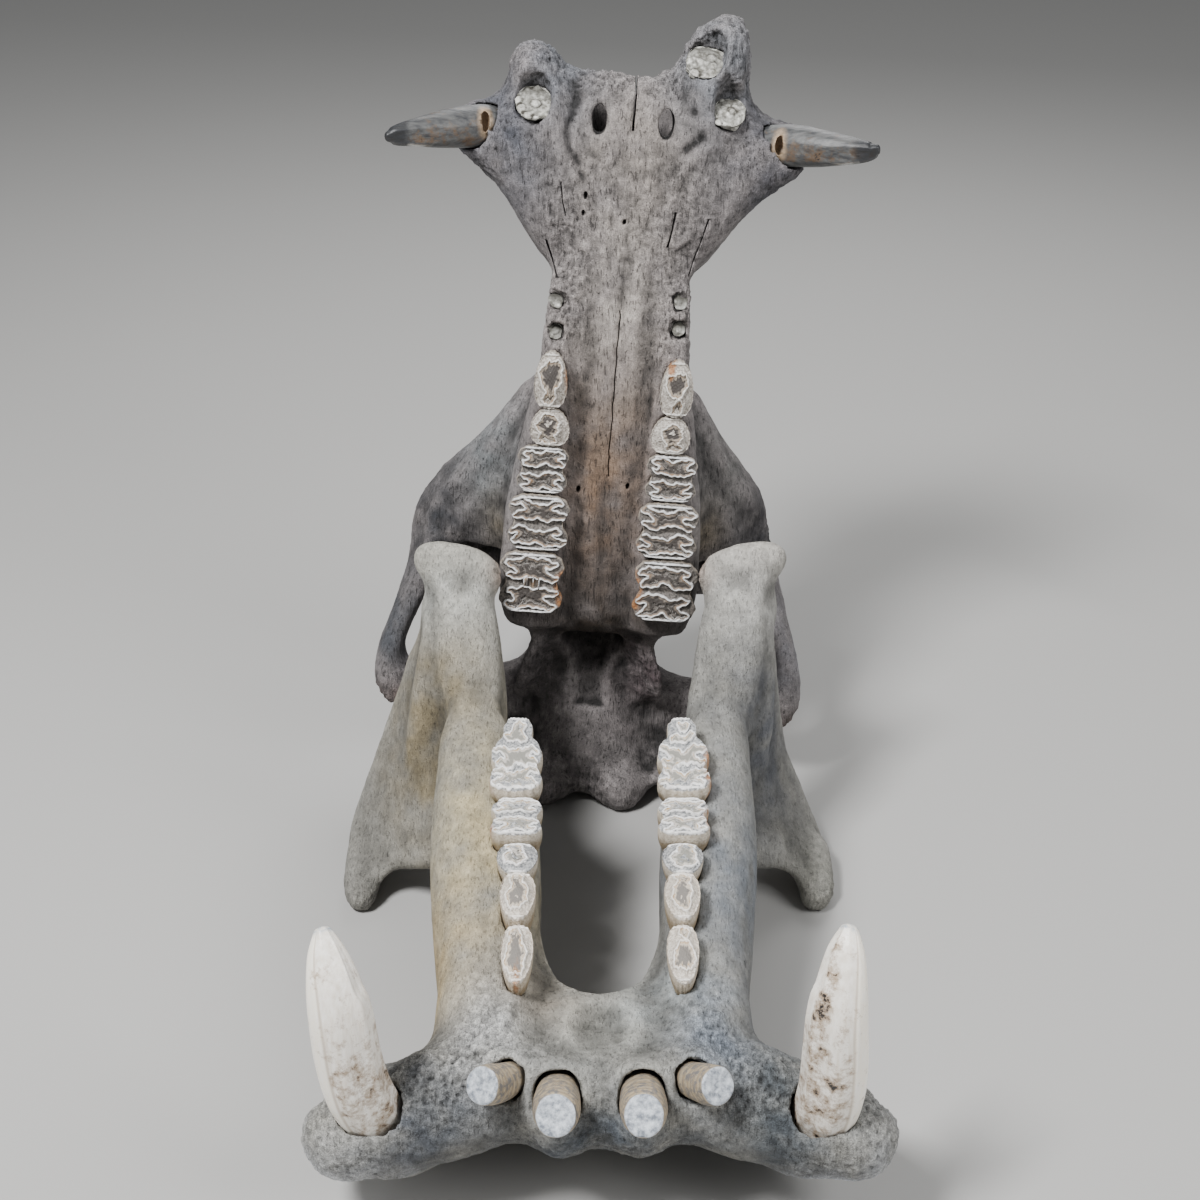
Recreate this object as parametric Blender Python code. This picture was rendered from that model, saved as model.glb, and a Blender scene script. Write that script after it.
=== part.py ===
"""Hippo skull with its jaws opened wide.

The cranium stands on its occiput and leans back a little, so its palate and upper teeth
face forward. The lower jaw lies on the floor in front of it, resting on its chin and on the
two hooked angles at the back. Nothing joins the two bones, and every tooth is loose in its
own socket.

Each bone is built from closed rounded bodies that overlap, one for each region of the real
bone. They are made one skin, the openings are cut, and the skin is thinned to few faces. All
rows below are in centimetres. The lower jaw's are (x, y back, z up) from the floor under the
tips of its front teeth. The cranium's are (x, height above the palate, length from the
occiput), so it is built standing upright on its occiput.
"""

import math

import bmesh
import bpy
from mathutils import Matrix, Vector

CM = 0.01
GAP = 0.03  # kept between a tooth and its socket, or between two teeth

# Faces around a long tooth, around a root remain and around the gap between the jaw halves.
TOOTH_SIDES = 12
ROOT_SIDES = 10
GAP_SIDES = 48

# Directions, in the upright cranium and in the jaw.
UP_SKULL = (0, 0, 1)
TO_ROOF = (0, 1, 0)
TO_PALATE = (0, -1, 0)
UPWARD = (0, 0, 1)
BACKWARD = (0, 1, 0)
SIDEWAYS = (1, 0, 0)
FLOOR_UP = (-0.072, -0.191, 0.979)  # the way up from the floor, seen from the cranium

# How the cranium stands behind the jaw.
LEAN_BACK = 11.0  # degrees
LEAN_SIDE = 4.2  # degrees, towards +x at the snout
STANDS_AT = (-1.75, 44.5)  # x and y of the palate plane at the occiput
CONTACT_HEIGHT = 5.0  # above the palate plane, where the occipital condyles meet the floor

# Faces and smoothness of the two bones.
VOXEL = 0.40
CRANIUM_FILLET = 1.3
JAW_FILLET = 1.3
BONE_SIDES = 20
ROWS_BETWEEN = 3
CRANIUM_FACES = 2150
MANDIBLE_FACES = 1250

# Cranium: length, half width, palate side height, roof height.
FACE = (
    (14.5, 3.2, 4.2, 14.6),
    (16.6, 4.4, 2.2, 15.0),
    (18.4, 6.4, 0.9, 15.4),
    (21.0, 6.9, 0.4, 16.0),
    (25.0, 7.0, 0.3, 15.9),
    (30.0, 6.8, 0.2, 14.6),
    (35.0, 5.9, 0.2, 13.3),
    (40.0, 5.0, 0.2, 12.2),
    (44.0, 5.0, 0.2, 11.6),
    (47.0, 5.4, 0.2, 11.3),
    (50.0, 6.4, 0.2, 11.4),
    (53.0, 6.8, 0.3, 11.8),
    (56.0, 6.5, 0.5, 11.8),
    (58.5, 6.0, 0.8, 10.8),
    (60.4, 5.2, 1.3, 7.0),
)
BRAINCASE = (
    (2.2, 7.6, 4.6, 17.2),
    (4.0, 8.0, 4.4, 17.3),
    (7.0, 6.0, 4.5, 16.1),
    (10.0, 5.3, 4.9, 15.4),
    (14.0, 5.2, 5.3, 15.3),
    (18.0, 5.8, 5.0, 15.6),
    (22.0, 6.6, 4.0, 16.0),
)
OCCIPUT = (
    (1.7, 10.0, 6.5, 16.8),
    (2.7, 12.0, 5.0, 18.2),
    (4.0, 12.4, 4.6, 18.6),
    (5.8, 10.0, 5.6, 17.4),
)
SAGITTAL_CREST = (
    (2.5, 1.4, 15.5, 18.3),
    (6.0, 0.8, 14.8, 17.2),
    (10.0, 0.7, 14.4, 16.5),
    (14.0, 0.9, 14.2, 16.0),
)
# Cranium: x, height, length, two half sizes, turn of the first from x towards the roof.
CHEEK_AND_ARCH = (
    (4.8, 5.6, 36.6, 1.9, 2.2, 40.0),
    (6.2, 6.0, 33.6, 2.5, 2.4, 45.0),
    (7.9, 6.6, 30.8, 3.2, 2.5, 46.0),
    (9.7, 7.2, 28.0, 3.9, 2.3, 46.0),
    (11.0, 8.0, 25.2, 3.8, 1.9, 50.0),
    (12.6, 8.7, 22.4, 3.1, 1.5, 60.0),
    (14.2, 9.1, 19.6, 2.6, 1.25, 72.0),
    (15.7, 8.9, 16.0, 2.2, 1.1, 82.0),
    (16.9, 8.4, 12.4, 2.1, 1.05, 86.0),
    (17.0, 8.0, 9.6, 2.1, 1.25, 86.0),
    (15.9, 7.8, 7.6, 1.9, 1.4, 80.0),
)
RIGHT_CHEEK_OUT = (0.0, 0.0, 0.1, 0.4, 1.2, 1.1, 0.3, 0.0, 0.0, 0.0, 0.0)  # its x beyond the left
CHEEK_FLOOR = (
    (5.6, 5.0, 31.0, 2.0, 2.2, 0.0),
    (6.8, 5.6, 27.5, 2.4, 2.2, 0.0),
    (7.8, 6.2, 24.5, 2.4, 1.8, 0.0),
    (8.8, 6.8, 22.3, 1.6, 1.2, 0.0),
)
# Cranium: x, height, length, half size along the skull, half size across the bar.
ARCH_ROOT = (
    (16.4, 7.8, 8.9, 1.6, 1.8, 0.0),
    (13.0, 8.0, 8.6, 1.9, 1.6, 0.0),
    (9.0, 8.8, 8.4, 2.3, 2.0, 0.0),
    (4.5, 9.8, 8.0, 3.2, 3.2, 0.0),
)
ORBIT_TUBE = (
    (5.0, 13.3, 21.0, 4.6, 2.9, 0.0),
    (8.5, 13.9, 21.2, 4.3, 3.6, 0.0),
    (11.2, 14.2, 21.4, 4.4, 4.3, 0.0),
    (12.9, 14.2, 21.5, 4.2, 4.2, 0.0),
)
PTERYGOID = (
    (3.3, 3.6, 19.0, 2.0, 0.6, -62.0),
    (3.9, 4.0, 15.8, 2.3, 0.5, -58.0),
    (4.7, 4.4, 12.8, 2.4, 0.5, -52.0),
    (5.3, 5.0, 10.4, 1.7, 0.45, -48.0),
)
TOOTH_WALL = (
    (5.0, 1.2, 17.5, 2.2, 1.2, 0.0),
    (5.2, 1.0, 21.0, 2.8, 1.7, 0.0),
    (5.0, 1.0, 27.0, 2.8, 1.7, 0.0),
    (4.8, 1.0, 33.0, 2.1, 1.6, 0.0),
    (4.5, 0.9, 39.0, 1.4, 1.3, 0.0),
    (4.4, 0.9, 45.5, 1.0, 1.0, 0.0),
)
CANINE_PROCESS = (
    (3.0, 5.8, 51.8, 6.4, 5.3, 0.0),
    (6.0, 5.6, 52.3, 6.0, 5.2, 0.0),
    (8.3, 4.7, 54.0, 4.4, 4.5, 0.0),
    (10.4, 3.6, 55.2, 2.9, 3.5, 0.0),
    (12.0, 2.7, 55.7, 2.1, 2.6, 0.0),
    (12.9, 2.4, 55.7, 1.3, 1.7, 0.0),
)
PREMAXILLA_WHOLE = (
    (4.6, 5.8, 52.0, 3.2, 4.8, 0.0),
    (5.2, 5.2, 56.0, 3.1, 4.9, 0.0),
    (5.7, 4.2, 60.0, 2.7, 4.3, 0.0),
    (5.8, 3.4, 62.5, 2.5, 3.6, 0.0),
    (6.2, 3.0, 64.3, 1.7, 2.4, 0.0),
    (6.5, 2.9, 65.1, 0.8, 1.1, 0.0),
)
PREMAXILLA_BROKEN = (
    (4.4, 5.6, 51.0, 3.2, 4.8, 0.0),
    (5.6, 5.2, 55.5, 3.0, 5.0, 0.0),
    (6.9, 4.1, 58.6, 2.4, 4.2, 0.0),
    (7.35, 3.5, 60.4, 2.0, 2.9, 0.0),
    (7.5, 3.1, 61.6, 1.6, 2.0, 0.0),
    (7.55, 3.0, 62.3, 0.9, 1.0, 0.0),
)
PAROCCIPITAL = (
    (8.2, 7.5, 3.6, 1.8, 1.5, 0.0),
    (8.8, 4.4, 3.6, 1.4, 1.1, 0.0),
    (9.1, 2.6, 3.4, 0.8, 0.7, 0.0),
)
# Openings: centre, half sizes.
ORBIT_HOLLOW = ((13.6, 14.1, 21.6), (5.2, 3.15, 3.35))
FORAMEN_MAGNUM = ((0.0, 8.6, 0.0), (2.1, 1.9, 4.5))
INCISIVE_FORAMEN = ((2.45, 2.0, 57.2), (0.6, 3.2, 1.15))
OCCIPITAL_CONDYLE = ((3.3, 5.7, 2.1), (2.3, 3.0, 2.5))
NASAL_PASSAGE = (
    (41.0, 1.4, 5.2, 8.0),
    (46.0, 3.0, 3.6, 9.0),
    (52.0, 3.9, 3.0, 9.6),
    (58.0, 4.4, 3.0, 9.8),
    (65.0, 5.2, 3.4, 12.5),
)
CHOANA = (
    (9.0, 2.3, 0.5, 5.6),
    (14.0, 2.6, 0.5, 6.0),
    (17.0, 2.5, 2.0, 6.2),
    (24.0, 1.6, 2.8, 5.4),
)

# Lower jaw: x, y, z, two half sizes, turn.
CHIN_BAR = (
    (0.0, 7.9, 8.4, 4.6, 3.0, -48.0),
    (2.6, 6.7, 8.6, 4.9, 3.3, -48.0),
    (5.0, 8.0, 8.7, 4.6, 3.2, -48.0),
    (8.6, 7.4, 8.2, 4.4, 3.5, -48.0),
    (10.4, 7.3, 8.2, 4.4, 3.7, -48.0),
    (13.0, 6.6, 7.8, 4.5, 3.1, -48.0),
    (15.2, 5.7, 7.0, 4.6, 2.7, -48.0),
    (17.0, 5.4, 6.9, 4.1, 2.3, -50.0),
    (18.0, 5.6, 7.1, 3.2, 1.7, -50.0),
    (18.6, 5.7, 7.2, 1.8, 0.9, -50.0),
)
CHIN = (
    (7.0, 5.0, 6.0, 12.2),
    (9.0, 6.5, 3.6, 12.4),
    (11.0, 7.5, 0.9, 12.2),
    (13.5, 7.8, -0.7, 11.6),
    (16.0, 7.6, -0.7, 10.6),
    (19.0, 6.6, 1.0, 9.6),
    (21.5, 5.4, 2.6, 8.8),
)
JAW_BODY = (
    (6.6, 8.6, 8.2, 3.6, 4.7, 0.0),
    (7.4, 12.0, 7.8, 3.5, 5.3, 0.0),
    (7.5, 16.5, 7.8, 3.5, 5.7, 0.0),
    (7.9, 22.0, 8.8, 3.8, 5.8, 0.0),
    (8.3, 28.0, 10.5, 4.0, 5.8, 0.0),
    (8.6, 33.0, 12.0, 3.7, 5.4, 0.0),
    (9.4, 38.0, 13.2, 2.8, 5.0, 0.0),
)
RAMUS = (
    (19.2, 39.4, 0.6, 1.0, 2.4, -10.0),
    (19.0, 40.6, 2.2, 1.25, 3.4, -16.0),
    (17.2, 41.9, 5.0, 1.35, 4.9, -22.0),
    (14.8, 41.6, 8.5, 1.4, 6.4, -28.0),
    (12.7, 42.0, 12.5, 1.5, 7.1, -31.0),
    (11.5, 43.0, 16.5, 1.5, 6.3, -34.0),
    (10.9, 43.8, 19.5, 1.5, 5.0, -38.0),
    (10.9, 45.4, 22.6, 1.6, 3.3, -60.0),
)
ANGLE_HOOK = (
    (19.0, 41.0, 1.8, 1.5, 1.9, 0.0),
    (19.0, 37.6, 1.4, 1.5, 1.7, 0.0),
    (18.9, 35.9, 1.25, 1.35, 1.45, 0.0),
    (18.7, 34.8, 1.15, 0.9, 0.95, 0.0),
)
ANGLE_WEB = (
    (8.5, 37.8, 8.5, 3.8, 3.0, 0.0),
    (11.5, 38.0, 6.4, 3.6, 2.4, 0.0),
    (14.0, 38.5, 5.0, 3.3, 1.7, 0.0),
    (16.4, 39.2, 3.8, 2.7, 1.4, 0.0),
)
RAMUS_SHOULDER = (
    (13.5, 42.2, 9.5, 2.1, 2.0, 0.0),
    (13.0, 43.0, 14.0, 2.1, 2.5, 0.0),
    (12.5, 44.0, 19.0, 1.6, 2.3, 0.0),
    (12.2, 45.2, 22.6, 1.3, 1.4, 0.0),
)
CORONOID = (
    (9.4, 40.8, 14.0, 2.3, 3.1, 0.0),
    (9.9, 41.8, 19.0, 2.6, 2.7, 0.0),
    (10.3, 43.2, 22.2, 2.3, 2.0, 0.0),
    (10.7, 44.8, 24.4, 1.8, 1.2, 0.0),
)
CONDYLE_NECK = (
    (10.8, 44.6, 19.0, 2.9, 1.7, 0.0),
    (10.9, 45.9, 22.6, 2.2, 1.3, 0.0),
    (10.9, 46.9, 25.0, 2.6, 1.0, 0.0),
)
INCISOR_BULGE = (
    (2.6, 9.0, 9.0, 2.3, 2.2, 0.0),
    (2.6, 6.0, 10.8, 2.1, 2.1, 0.0),
    (2.6, 4.2, 11.8, 1.9, 1.9, 0.0),
)
SECOND_INCISOR_BULGE = (
    (5.3, 9.2, 10.2, 1.9, 1.9, 0.0),
    (5.8, 6.6, 11.5, 1.8, 1.8, 0.0),
    (6.1, 5.3, 12.1, 1.55, 1.55, 0.0),
)
TUSK_ROOT_BULGE = (
    (14.3, 4.9, 10.5, 2.9, 2.7, 0.0),
    (14.0, 5.5, 9.0, 3.3, 3.1, 0.0),
    (13.2, 6.9, 7.0, 3.5, 3.4, 0.0),
    (10.8, 10.4, 4.8, 3.2, 3.2, 0.0),
    (8.0, 14.5, 3.6, 3.0, 3.0, 0.0),
)
CONDYLE = (
    (7.5, 46.4, 23.8, 0.6, 0.6, 0.0),
    (8.5, 46.5, 24.6, 1.4, 1.35, 0.0),
    (11.0, 46.9, 25.1, 1.75, 1.55, 0.0),
    (13.2, 47.1, 25.3, 1.75, 1.4, 0.0),
    (14.5, 47.3, 25.4, 0.9, 0.85, 0.0),
)
# The gap between the two halves of the jaw: x, y, z, two half sizes, turn.
JAW_GAP = (
    (0.0, 24.0, -3.0, 4.2, 9.7, 0.0),
    (0.0, 24.0, 10.0, 4.3, 9.9, 0.0),
    (0.0, 24.0, 20.0, 4.5, 11.5, 0.0),
)
CHIN_SCOOP = ((0.0, 11.5, 18.6), (6.5, 9.0, 7.0))
# How far the left ramus, hook and web stand in from the right ones, for each of their rows.
LEFT_RAMUS_IN = (1.9, 2.4, 2.9, 2.9, 2.1, 1.2, 0.5, 0.0)
LEFT_HOOK_IN = (1.8, 1.8, 1.8, 1.8)
LEFT_WEB_IN = (0.4, 1.0, 1.5, 1.8)
LEFT_SHOULDER_IN = (2.3, 1.4, 0.5, 0.0)
LEFT_BODY_THINNER = 0.45  # how much thinner its left half is than the right one

# Cheek teeth, from front to back: name, x, where it starts and ends along the skull, width,
# height above the bone, and the shape of its outline.
UPPER_TEETH = (
    ("p3", 4.75, 40.5, 36.15, 2.5, 2.1, "egg"),
    ("p4", 4.6, 36.1, 33.15, 3.0, 1.6, "egg"),
    ("m1", 4.95, 33.1, 29.3, 3.9, 1.2, "two lobes"),
    ("m2", 5.0, 29.25, 24.7, 4.7, 1.4, "two lobes"),
    ("m3", 5.25, 24.65, 19.5, 5.0, 1.4, "two lobes"),
)
UPPER_GUM = -0.55
# The same for the jaw, with the height of the bone beside it after its shape.
LOWER_TEETH = (
    ("p3", 5.4, 12.1, 16.8, 2.1, 2.1, "egg", 13.0),
    ("p4", 5.5, 16.9, 20.9, 2.4, 2.8, "egg", 13.7),
    ("m1", 5.65, 21.0, 23.7, 2.8, 2.1, "egg", 14.5),
    ("m2", 5.8, 23.8, 27.25, 3.6, 2.3, "two lobes", 15.2),
    ("m3", 5.95, 27.35, 34.8, 3.8, 2.2, "three lobes", 16.7),
)
LOWER_ROW_RISES = 11.0  # degrees
ROOT_DEPTH = 0.95
# A cheek tooth from its root to its worn top: share of its height, share of its outline.
CROWN = ((-0.04, 0.88), (0.45, 1.0), (1.0, 0.94), (0.9, 0.6))
ROOT_SHARE = 0.72
SOCKET_ABOVE = 1.5  # how far the cutter of a socket reaches past the tooth
OUTLINES = {
    "egg": (
        (1.0, 0.0), (0.8, 0.55), (0.3, 0.9), (-0.3, 1.0), (-0.8, 0.8), (-1.0, 0.3),
        (-1.0, -0.3), (-0.8, -0.8), (-0.3, -1.0), (0.3, -0.9), (0.8, -0.55),
    ),
    "two lobes": (
        (1.0, 0.0), (0.9, 0.72), (0.52, 1.0), (0.0, 0.8), (-0.52, 1.0), (-0.9, 0.72),
        (-1.0, 0.0), (-0.9, -0.72), (-0.52, -1.0), (0.0, -0.8), (0.52, -1.0), (0.9, -0.72),
    ),
    "three lobes": (
        (1.0, 0.0), (0.92, 0.7), (0.68, 1.0), (0.36, 0.8), (0.05, 0.98), (-0.32, 0.78),
        (-0.48, 0.56), (-0.84, 0.52), (-1.0, 0.0), (-0.84, -0.52), (-0.48, -0.56),
        (-0.32, -0.78), (0.05, -0.98), (0.36, -0.8), (0.68, -1.0), (0.92, -0.7),
    ),
}
CANINE_FORWARD = {1: (0.4, 2.0), -1: (0.6, 0.3)}  # by side, at its root and at its tip
# Front teeth, from root to tip: x, the two other places, two half sizes, turn.
UPPER_CANINE = (
    (9.0, 2.9, 55.7, 1.2, 1.05, 0.0),
    (10.7, 1.85, 55.6, 1.5, 1.3, 0.0),
    (12.4, 0.7, 55.5, 1.5, 1.35, 0.0),
    (14.2, -0.5, 55.3, 1.25, 1.15, 0.0),
    (15.9, -1.5, 55.1, 0.95, 0.85, 0.0),
    (17.0, -2.1, 54.95, 0.7, 0.6, 0.0),
    (17.5, -2.4, 54.9, 0.4, 0.35, 0.0),
)
TUSK_LEFT = (
    (12.5, 7.8, 5.4, 1.55, 1.3, 0.0),
    (13.1, 5.9, 7.5, 1.8, 1.5, 0.0),
    (13.6, 4.7, 9.8, 1.95, 1.62, 0.0),
    (13.9, 3.95, 12.6, 2.0, 1.65, 0.0),
    (13.9, 3.7, 15.6, 1.97, 1.6, 0.0),
    (13.8, 3.7, 18.8, 1.82, 1.45, 0.0),
    (13.95, 4.1, 21.0, 1.55, 1.2, 0.0),
    (14.2, 4.9, 22.9, 1.15, 0.85, 0.0),
    (14.45, 5.6, 24.1, 0.55, 0.4, 0.0),
)
TUSK_RIGHT = (
    (12.4, 7.8, 5.4, 1.55, 1.3, 0.0),
    (13.1, 5.9, 7.5, 1.8, 1.5, 0.0),
    (13.8, 4.7, 9.8, 1.95, 1.62, 0.0),
    (14.5, 3.95, 12.6, 2.0, 1.65, 0.0),
    (14.9, 3.7, 15.6, 1.97, 1.6, 0.0),
    (15.1, 3.7, 18.8, 1.9, 1.45, 0.0),
    (15.4, 4.1, 21.0, 1.65, 1.2, 0.0),
    (15.8, 4.9, 22.7, 1.2, 0.85, 0.0),
    (16.1, 5.6, 23.9, 0.55, 0.4, 0.0),
)
FIRST_INCISOR = (
    (2.6, 8.0, 9.4, 1.15, 1.15, 0.0),
    (2.6, 5.0, 11.2, 1.38, 1.38, 0.0),
    (2.6, 2.9, 12.45, 1.44, 1.44, 0.0),
    (2.6, 1.8, 13.1, 1.36, 1.36, 0.0),
    (2.6, 1.1, 13.52, 1.18, 1.18, 0.0),
    (2.6, 0.8, 13.7, 1.05, 1.05, 0.0),
)
FIRST_INCISOR_SOCKET = (
    (2.6, 8.1, 9.34, 1.19, 1.19, 0.0),
    (2.6, 6.4, 10.4, 1.34, 1.36, 0.0),
    (2.6, 3.9, 12.0, 1.5, 1.75, 0.0),
    (2.6, 1.8, 13.3, 1.64, 2.1, 0.0),
)
SECOND_INCISOR = (
    (4.9, 7.6, 10.4, 0.92, 0.92, 0.0),
    (6.0, 5.0, 12.4, 1.12, 1.12, 0.0),
    (6.6, 3.9, 13.3, 1.2, 1.2, 0.0),
    (7.0, 3.15, 13.95, 1.14, 1.14, 0.0),
    (7.06, 3.05, 14.05, 1.02, 1.02, 0.0),
)
SECOND_INCISOR_SOCKET = (
    (4.86, 7.7, 10.33, 0.96, 0.96, 0.0),
    (5.4, 6.3, 11.4, 1.1, 1.13, 0.0),
    (6.0, 4.9, 12.5, 1.24, 1.38, 0.0),
    (6.6, 3.7, 13.5, 1.45, 1.6, 0.0),
)
# A broken root from the bottom of its socket to its top, and the socket around it, by share
# of its half sizes. Its top is a low dome, and the socket is widest at its mouth.
ROOT_BOTTOM, ROOT_TOP, SOCKET_MOUTH = 0.8, 0.75, 1.12
ROOT_DOME = 0.2
MOUTH_ABOVE = 1.2  # how far its cutter reaches out of the bone
# Root remains: name, x, height and length of the mouth of the socket, two half sizes, how
# deep the socket is, and how far the remains lie below its mouth.
INCISOR_ROOTS = (
    ("root_upper_i1_left", 4.85, 0.3, 62.6, 1.45, 1.6, 2.0, 0.9),
    ("root_upper_i2_left", 6.95, 0.1, 59.2, 1.25, 1.45, 2.0, 0.85),
    ("root_upper_i1_right", -7.35, 0.1, 58.9, 1.4, 1.6, 2.0, 0.85),
)
INCISOR_ROOT_FACES = (0.0, -0.75, 0.65)
PREMOLAR_ROOTS = (
    ("root_upper_p1_left", 4.6, -0.1, 44.4, 0.62, 0.72, 1.0, 0.45),
    ("root_upper_p2_left", 4.6, -0.15, 42.4, 0.62, 0.72, 1.0, 0.45),
    ("root_upper_p1_right", -4.75, -0.1, 43.9, 0.62, 0.72, 1.0, 0.45),
    ("root_upper_p2_right", -4.65, -0.15, 41.5, 0.62, 0.72, 1.0, 0.45),
)
PREMOLAR_ROOT_FACES = (0.0, -1.0, 0.0)

# The whole is moved by this, in centimetres, so the middle of its bounding box stands at the origin.
SHIFT = (0.1, -33.7, 0.0)

# Colours: name of the material, colour, roughness.
CRANIUM_BONE = ("bone_cranium", "8C8279", 0.85)
JAW_BONE = ("bone_mandible", "B4AFA2", 0.8)
CHEEK_TOOTH_UPPER = ("teeth_upper", "B5AB9F", 0.45)
CHEEK_TOOTH_LOWER = ("teeth_lower", "CFC8BA", 0.45)
CANINE_UPPER = ("canine_upper", "8E8478", 0.45)
CANINE_LOWER = ("canine_lower", "D6CCB4", 0.4)
INCISOR = ("incisor", "A39B96", 0.55)
ROOT_REMAINS = ("root_remains", "C4BFB4", 0.9)


def cleared_scene():
    for obj in list(bpy.data.objects):
        bpy.data.objects.remove(obj)


def eased(rows, between):
    """The rows with more between each two, on one smooth curve through them all."""
    ends = [rows[0], *rows, rows[-1]]
    out = []
    for p, q, r, s in zip(ends, ends[1:], ends[2:], ends[3:]):
        for step in range(between):
            t = step / between
            out.append(
                tuple(
                    b + 0.5 * t * (c - a + t * (2 * a - 5 * b + 4 * c - d + t * (3 * (b - c) + d - a)))
                    for a, b, c, d in zip(p, q, r, s)
                )
            )
    return out + [tuple(rows[-1])]


def across(rows):
    """Rows of (length, half width, low side, high side) as rows of places and half sizes."""
    return [(0.0, (low + high) / 2, along, wide, (high - low) / 2, 0.0) for along, wide, low, high in rows]


def level(rows):
    """The same for the chin, whose rows run back along y."""
    return [(0.0, along, (low + high) / 2, wide, (high - low) / 2, 0.0) for along, wide, low, high in rows]


def ring(bm, place, wide, high, square, sides):
    made = bmesh.ops.create_circle(bm, cap_ends=False, segments=sides, radius=1)["verts"]
    for v in made:
        x = math.copysign(abs(v.co.x) ** square, v.co.x) * wide
        y = math.copysign(abs(v.co.y) ** square, v.co.y) * high
        v.co = place @ Vector((x, y, 0))
    return list({edge for v in made for edge in v.link_edges})


def tube(bm, rows, up, facing=None, square=0.85, side=1, sides=BONE_SIDES, between=ROWS_BETWEEN):
    """One closed body through ovals. An oval's second half size lies along up, and its plane
    is square to facing, or to the path where facing isn't given. Side -1 mirrors it."""
    rows = eased(rows, between)
    centres = [Vector(row[:3]) for row in rows]
    rings = []
    for i, (centre, row) in enumerate(zip(centres, rows)):
        before, after = centres[max(i - 1, 0)], centres[min(i + 1, len(rows) - 1)]
        normal = Vector(facing) if facing else (after - before).normalized()
        across_path = Vector(up).cross(normal).normalized()
        upright = normal.cross(across_path)
        turn = Matrix.Rotation(math.radians(row[5]), 4, "Z")
        frame = Matrix((across_path, upright, normal)).transposed().to_4x4()
        place = Matrix.Translation(centre) @ frame @ turn
        rings.append(ring(bm, place, row[3], row[4], square, sides))
    for lower, upper in zip(rings, rings[1:]):
        bmesh.ops.bridge_loops(bm, edges=lower + upper)
    for end in (rings[0], rings[-1]):
        bmesh.ops.contextual_create(bm, geom=end)
    made = list({v for edges in rings for edge in edges for v in edge.verts})
    bmesh.ops.scale(bm, vec=(side, 1, 1), verts=made)


def ball(bm, centre, radii, side=1):
    place = Matrix.Translation(Vector((side * centre[0], *centre[1:]))) @ Matrix.Diagonal((*radii, 1))
    bmesh.ops.create_icosphere(bm, subdivisions=3, radius=1, matrix=place)


def object_from(bm, name):
    """A new object from the bmesh, which was drawn in centimetres."""
    bmesh.ops.scale(bm, vec=(CM, CM, CM), verts=bm.verts)
    bmesh.ops.recalc_face_normals(bm, faces=bm.faces)
    mesh = bpy.data.meshes.new(name)
    bm.to_mesh(mesh)
    bm.free()
    obj = bpy.data.objects.new(name, mesh)
    bpy.context.scene.collection.objects.link(obj)
    return obj


def apply_modifiers(obj):
    """The object's mesh as its modifiers leave it, with the modifiers gone."""
    graph = bpy.context.evaluated_depsgraph_get()
    old = obj.data
    obj.data = bpy.data.meshes.new_from_object(obj.evaluated_get(graph))
    obj.data.name = obj.name
    obj.modifiers.clear()
    bpy.data.meshes.remove(old)


def one_skin(obj, passes, fillet=0.0):
    """Makes the overlapping bodies one surface. A fillet rounds the creases between them:
    the surface is swollen by it, made one again, and shrunk back."""
    for swell in (0.0, fillet, -fillet) if fillet else (0.0,):
        if swell:
            displace = obj.modifiers.new("Swell", "DISPLACE")
            displace.mid_level = 0.0
            displace.strength = swell * CM
        remesh = obj.modifiers.new("One skin", "REMESH")
        remesh.mode = "VOXEL"
        remesh.voxel_size = VOXEL * CM
        smooth = obj.modifiers.new("Soften", "SMOOTH")
        smooth.factor = 0.5
        smooth.iterations = passes
    apply_modifiers(obj)


def cut(obj, cutter):
    boolean = obj.modifiers.new("Opening", "BOOLEAN")
    boolean.operation = "DIFFERENCE"
    boolean.solver = "EXACT"
    boolean.object = cutter
    apply_modifiers(obj)
    bpy.data.objects.remove(cutter)


def cut_tube(obj, rows, up, **shape):
    bm = bmesh.new()
    tube(bm, rows, up, **shape)
    cut(obj, object_from(bm, "cutter"))


def cut_ball(obj, hollow, side=1):
    bm = bmesh.new()
    ball(bm, *hollow, side=side)
    cut(obj, object_from(bm, "cutter"))


def thin_to(obj, faces):
    obj.data.calc_loop_triangles()
    decimate = obj.modifiers.new("Few faces", "DECIMATE")
    decimate.ratio = faces / len(obj.data.loop_triangles)
    decimate.use_collapse_triangulate = True
    apply_modifiers(obj)


def wider(rows, by):
    """The same rows with both half sizes larger."""
    return [(x, y, z, wide + by, high + by, turn) for x, y, z, wide, high, turn in rows]


def forward(rows, at_first, at_last):
    """The same rows, moved along the skull: by one amount at the first and another at the last."""
    step = (at_last - at_first) / (len(rows) - 1)
    return [(x, y, z + at_first + step * i, *sizes) for i, (x, y, z, *sizes) in enumerate(rows)]


def thinner(rows, by):
    """The same rows with the outer side moved in."""
    return [(x - by, y, z, wide - by, *rest) for x, y, z, wide, *rest in rows]


def moved_in(rows, steps):
    """The same rows moved in towards the middle, each by its own step."""
    return [(x - step, *rest) for (x, *rest), step in zip(rows, steps)]


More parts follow.
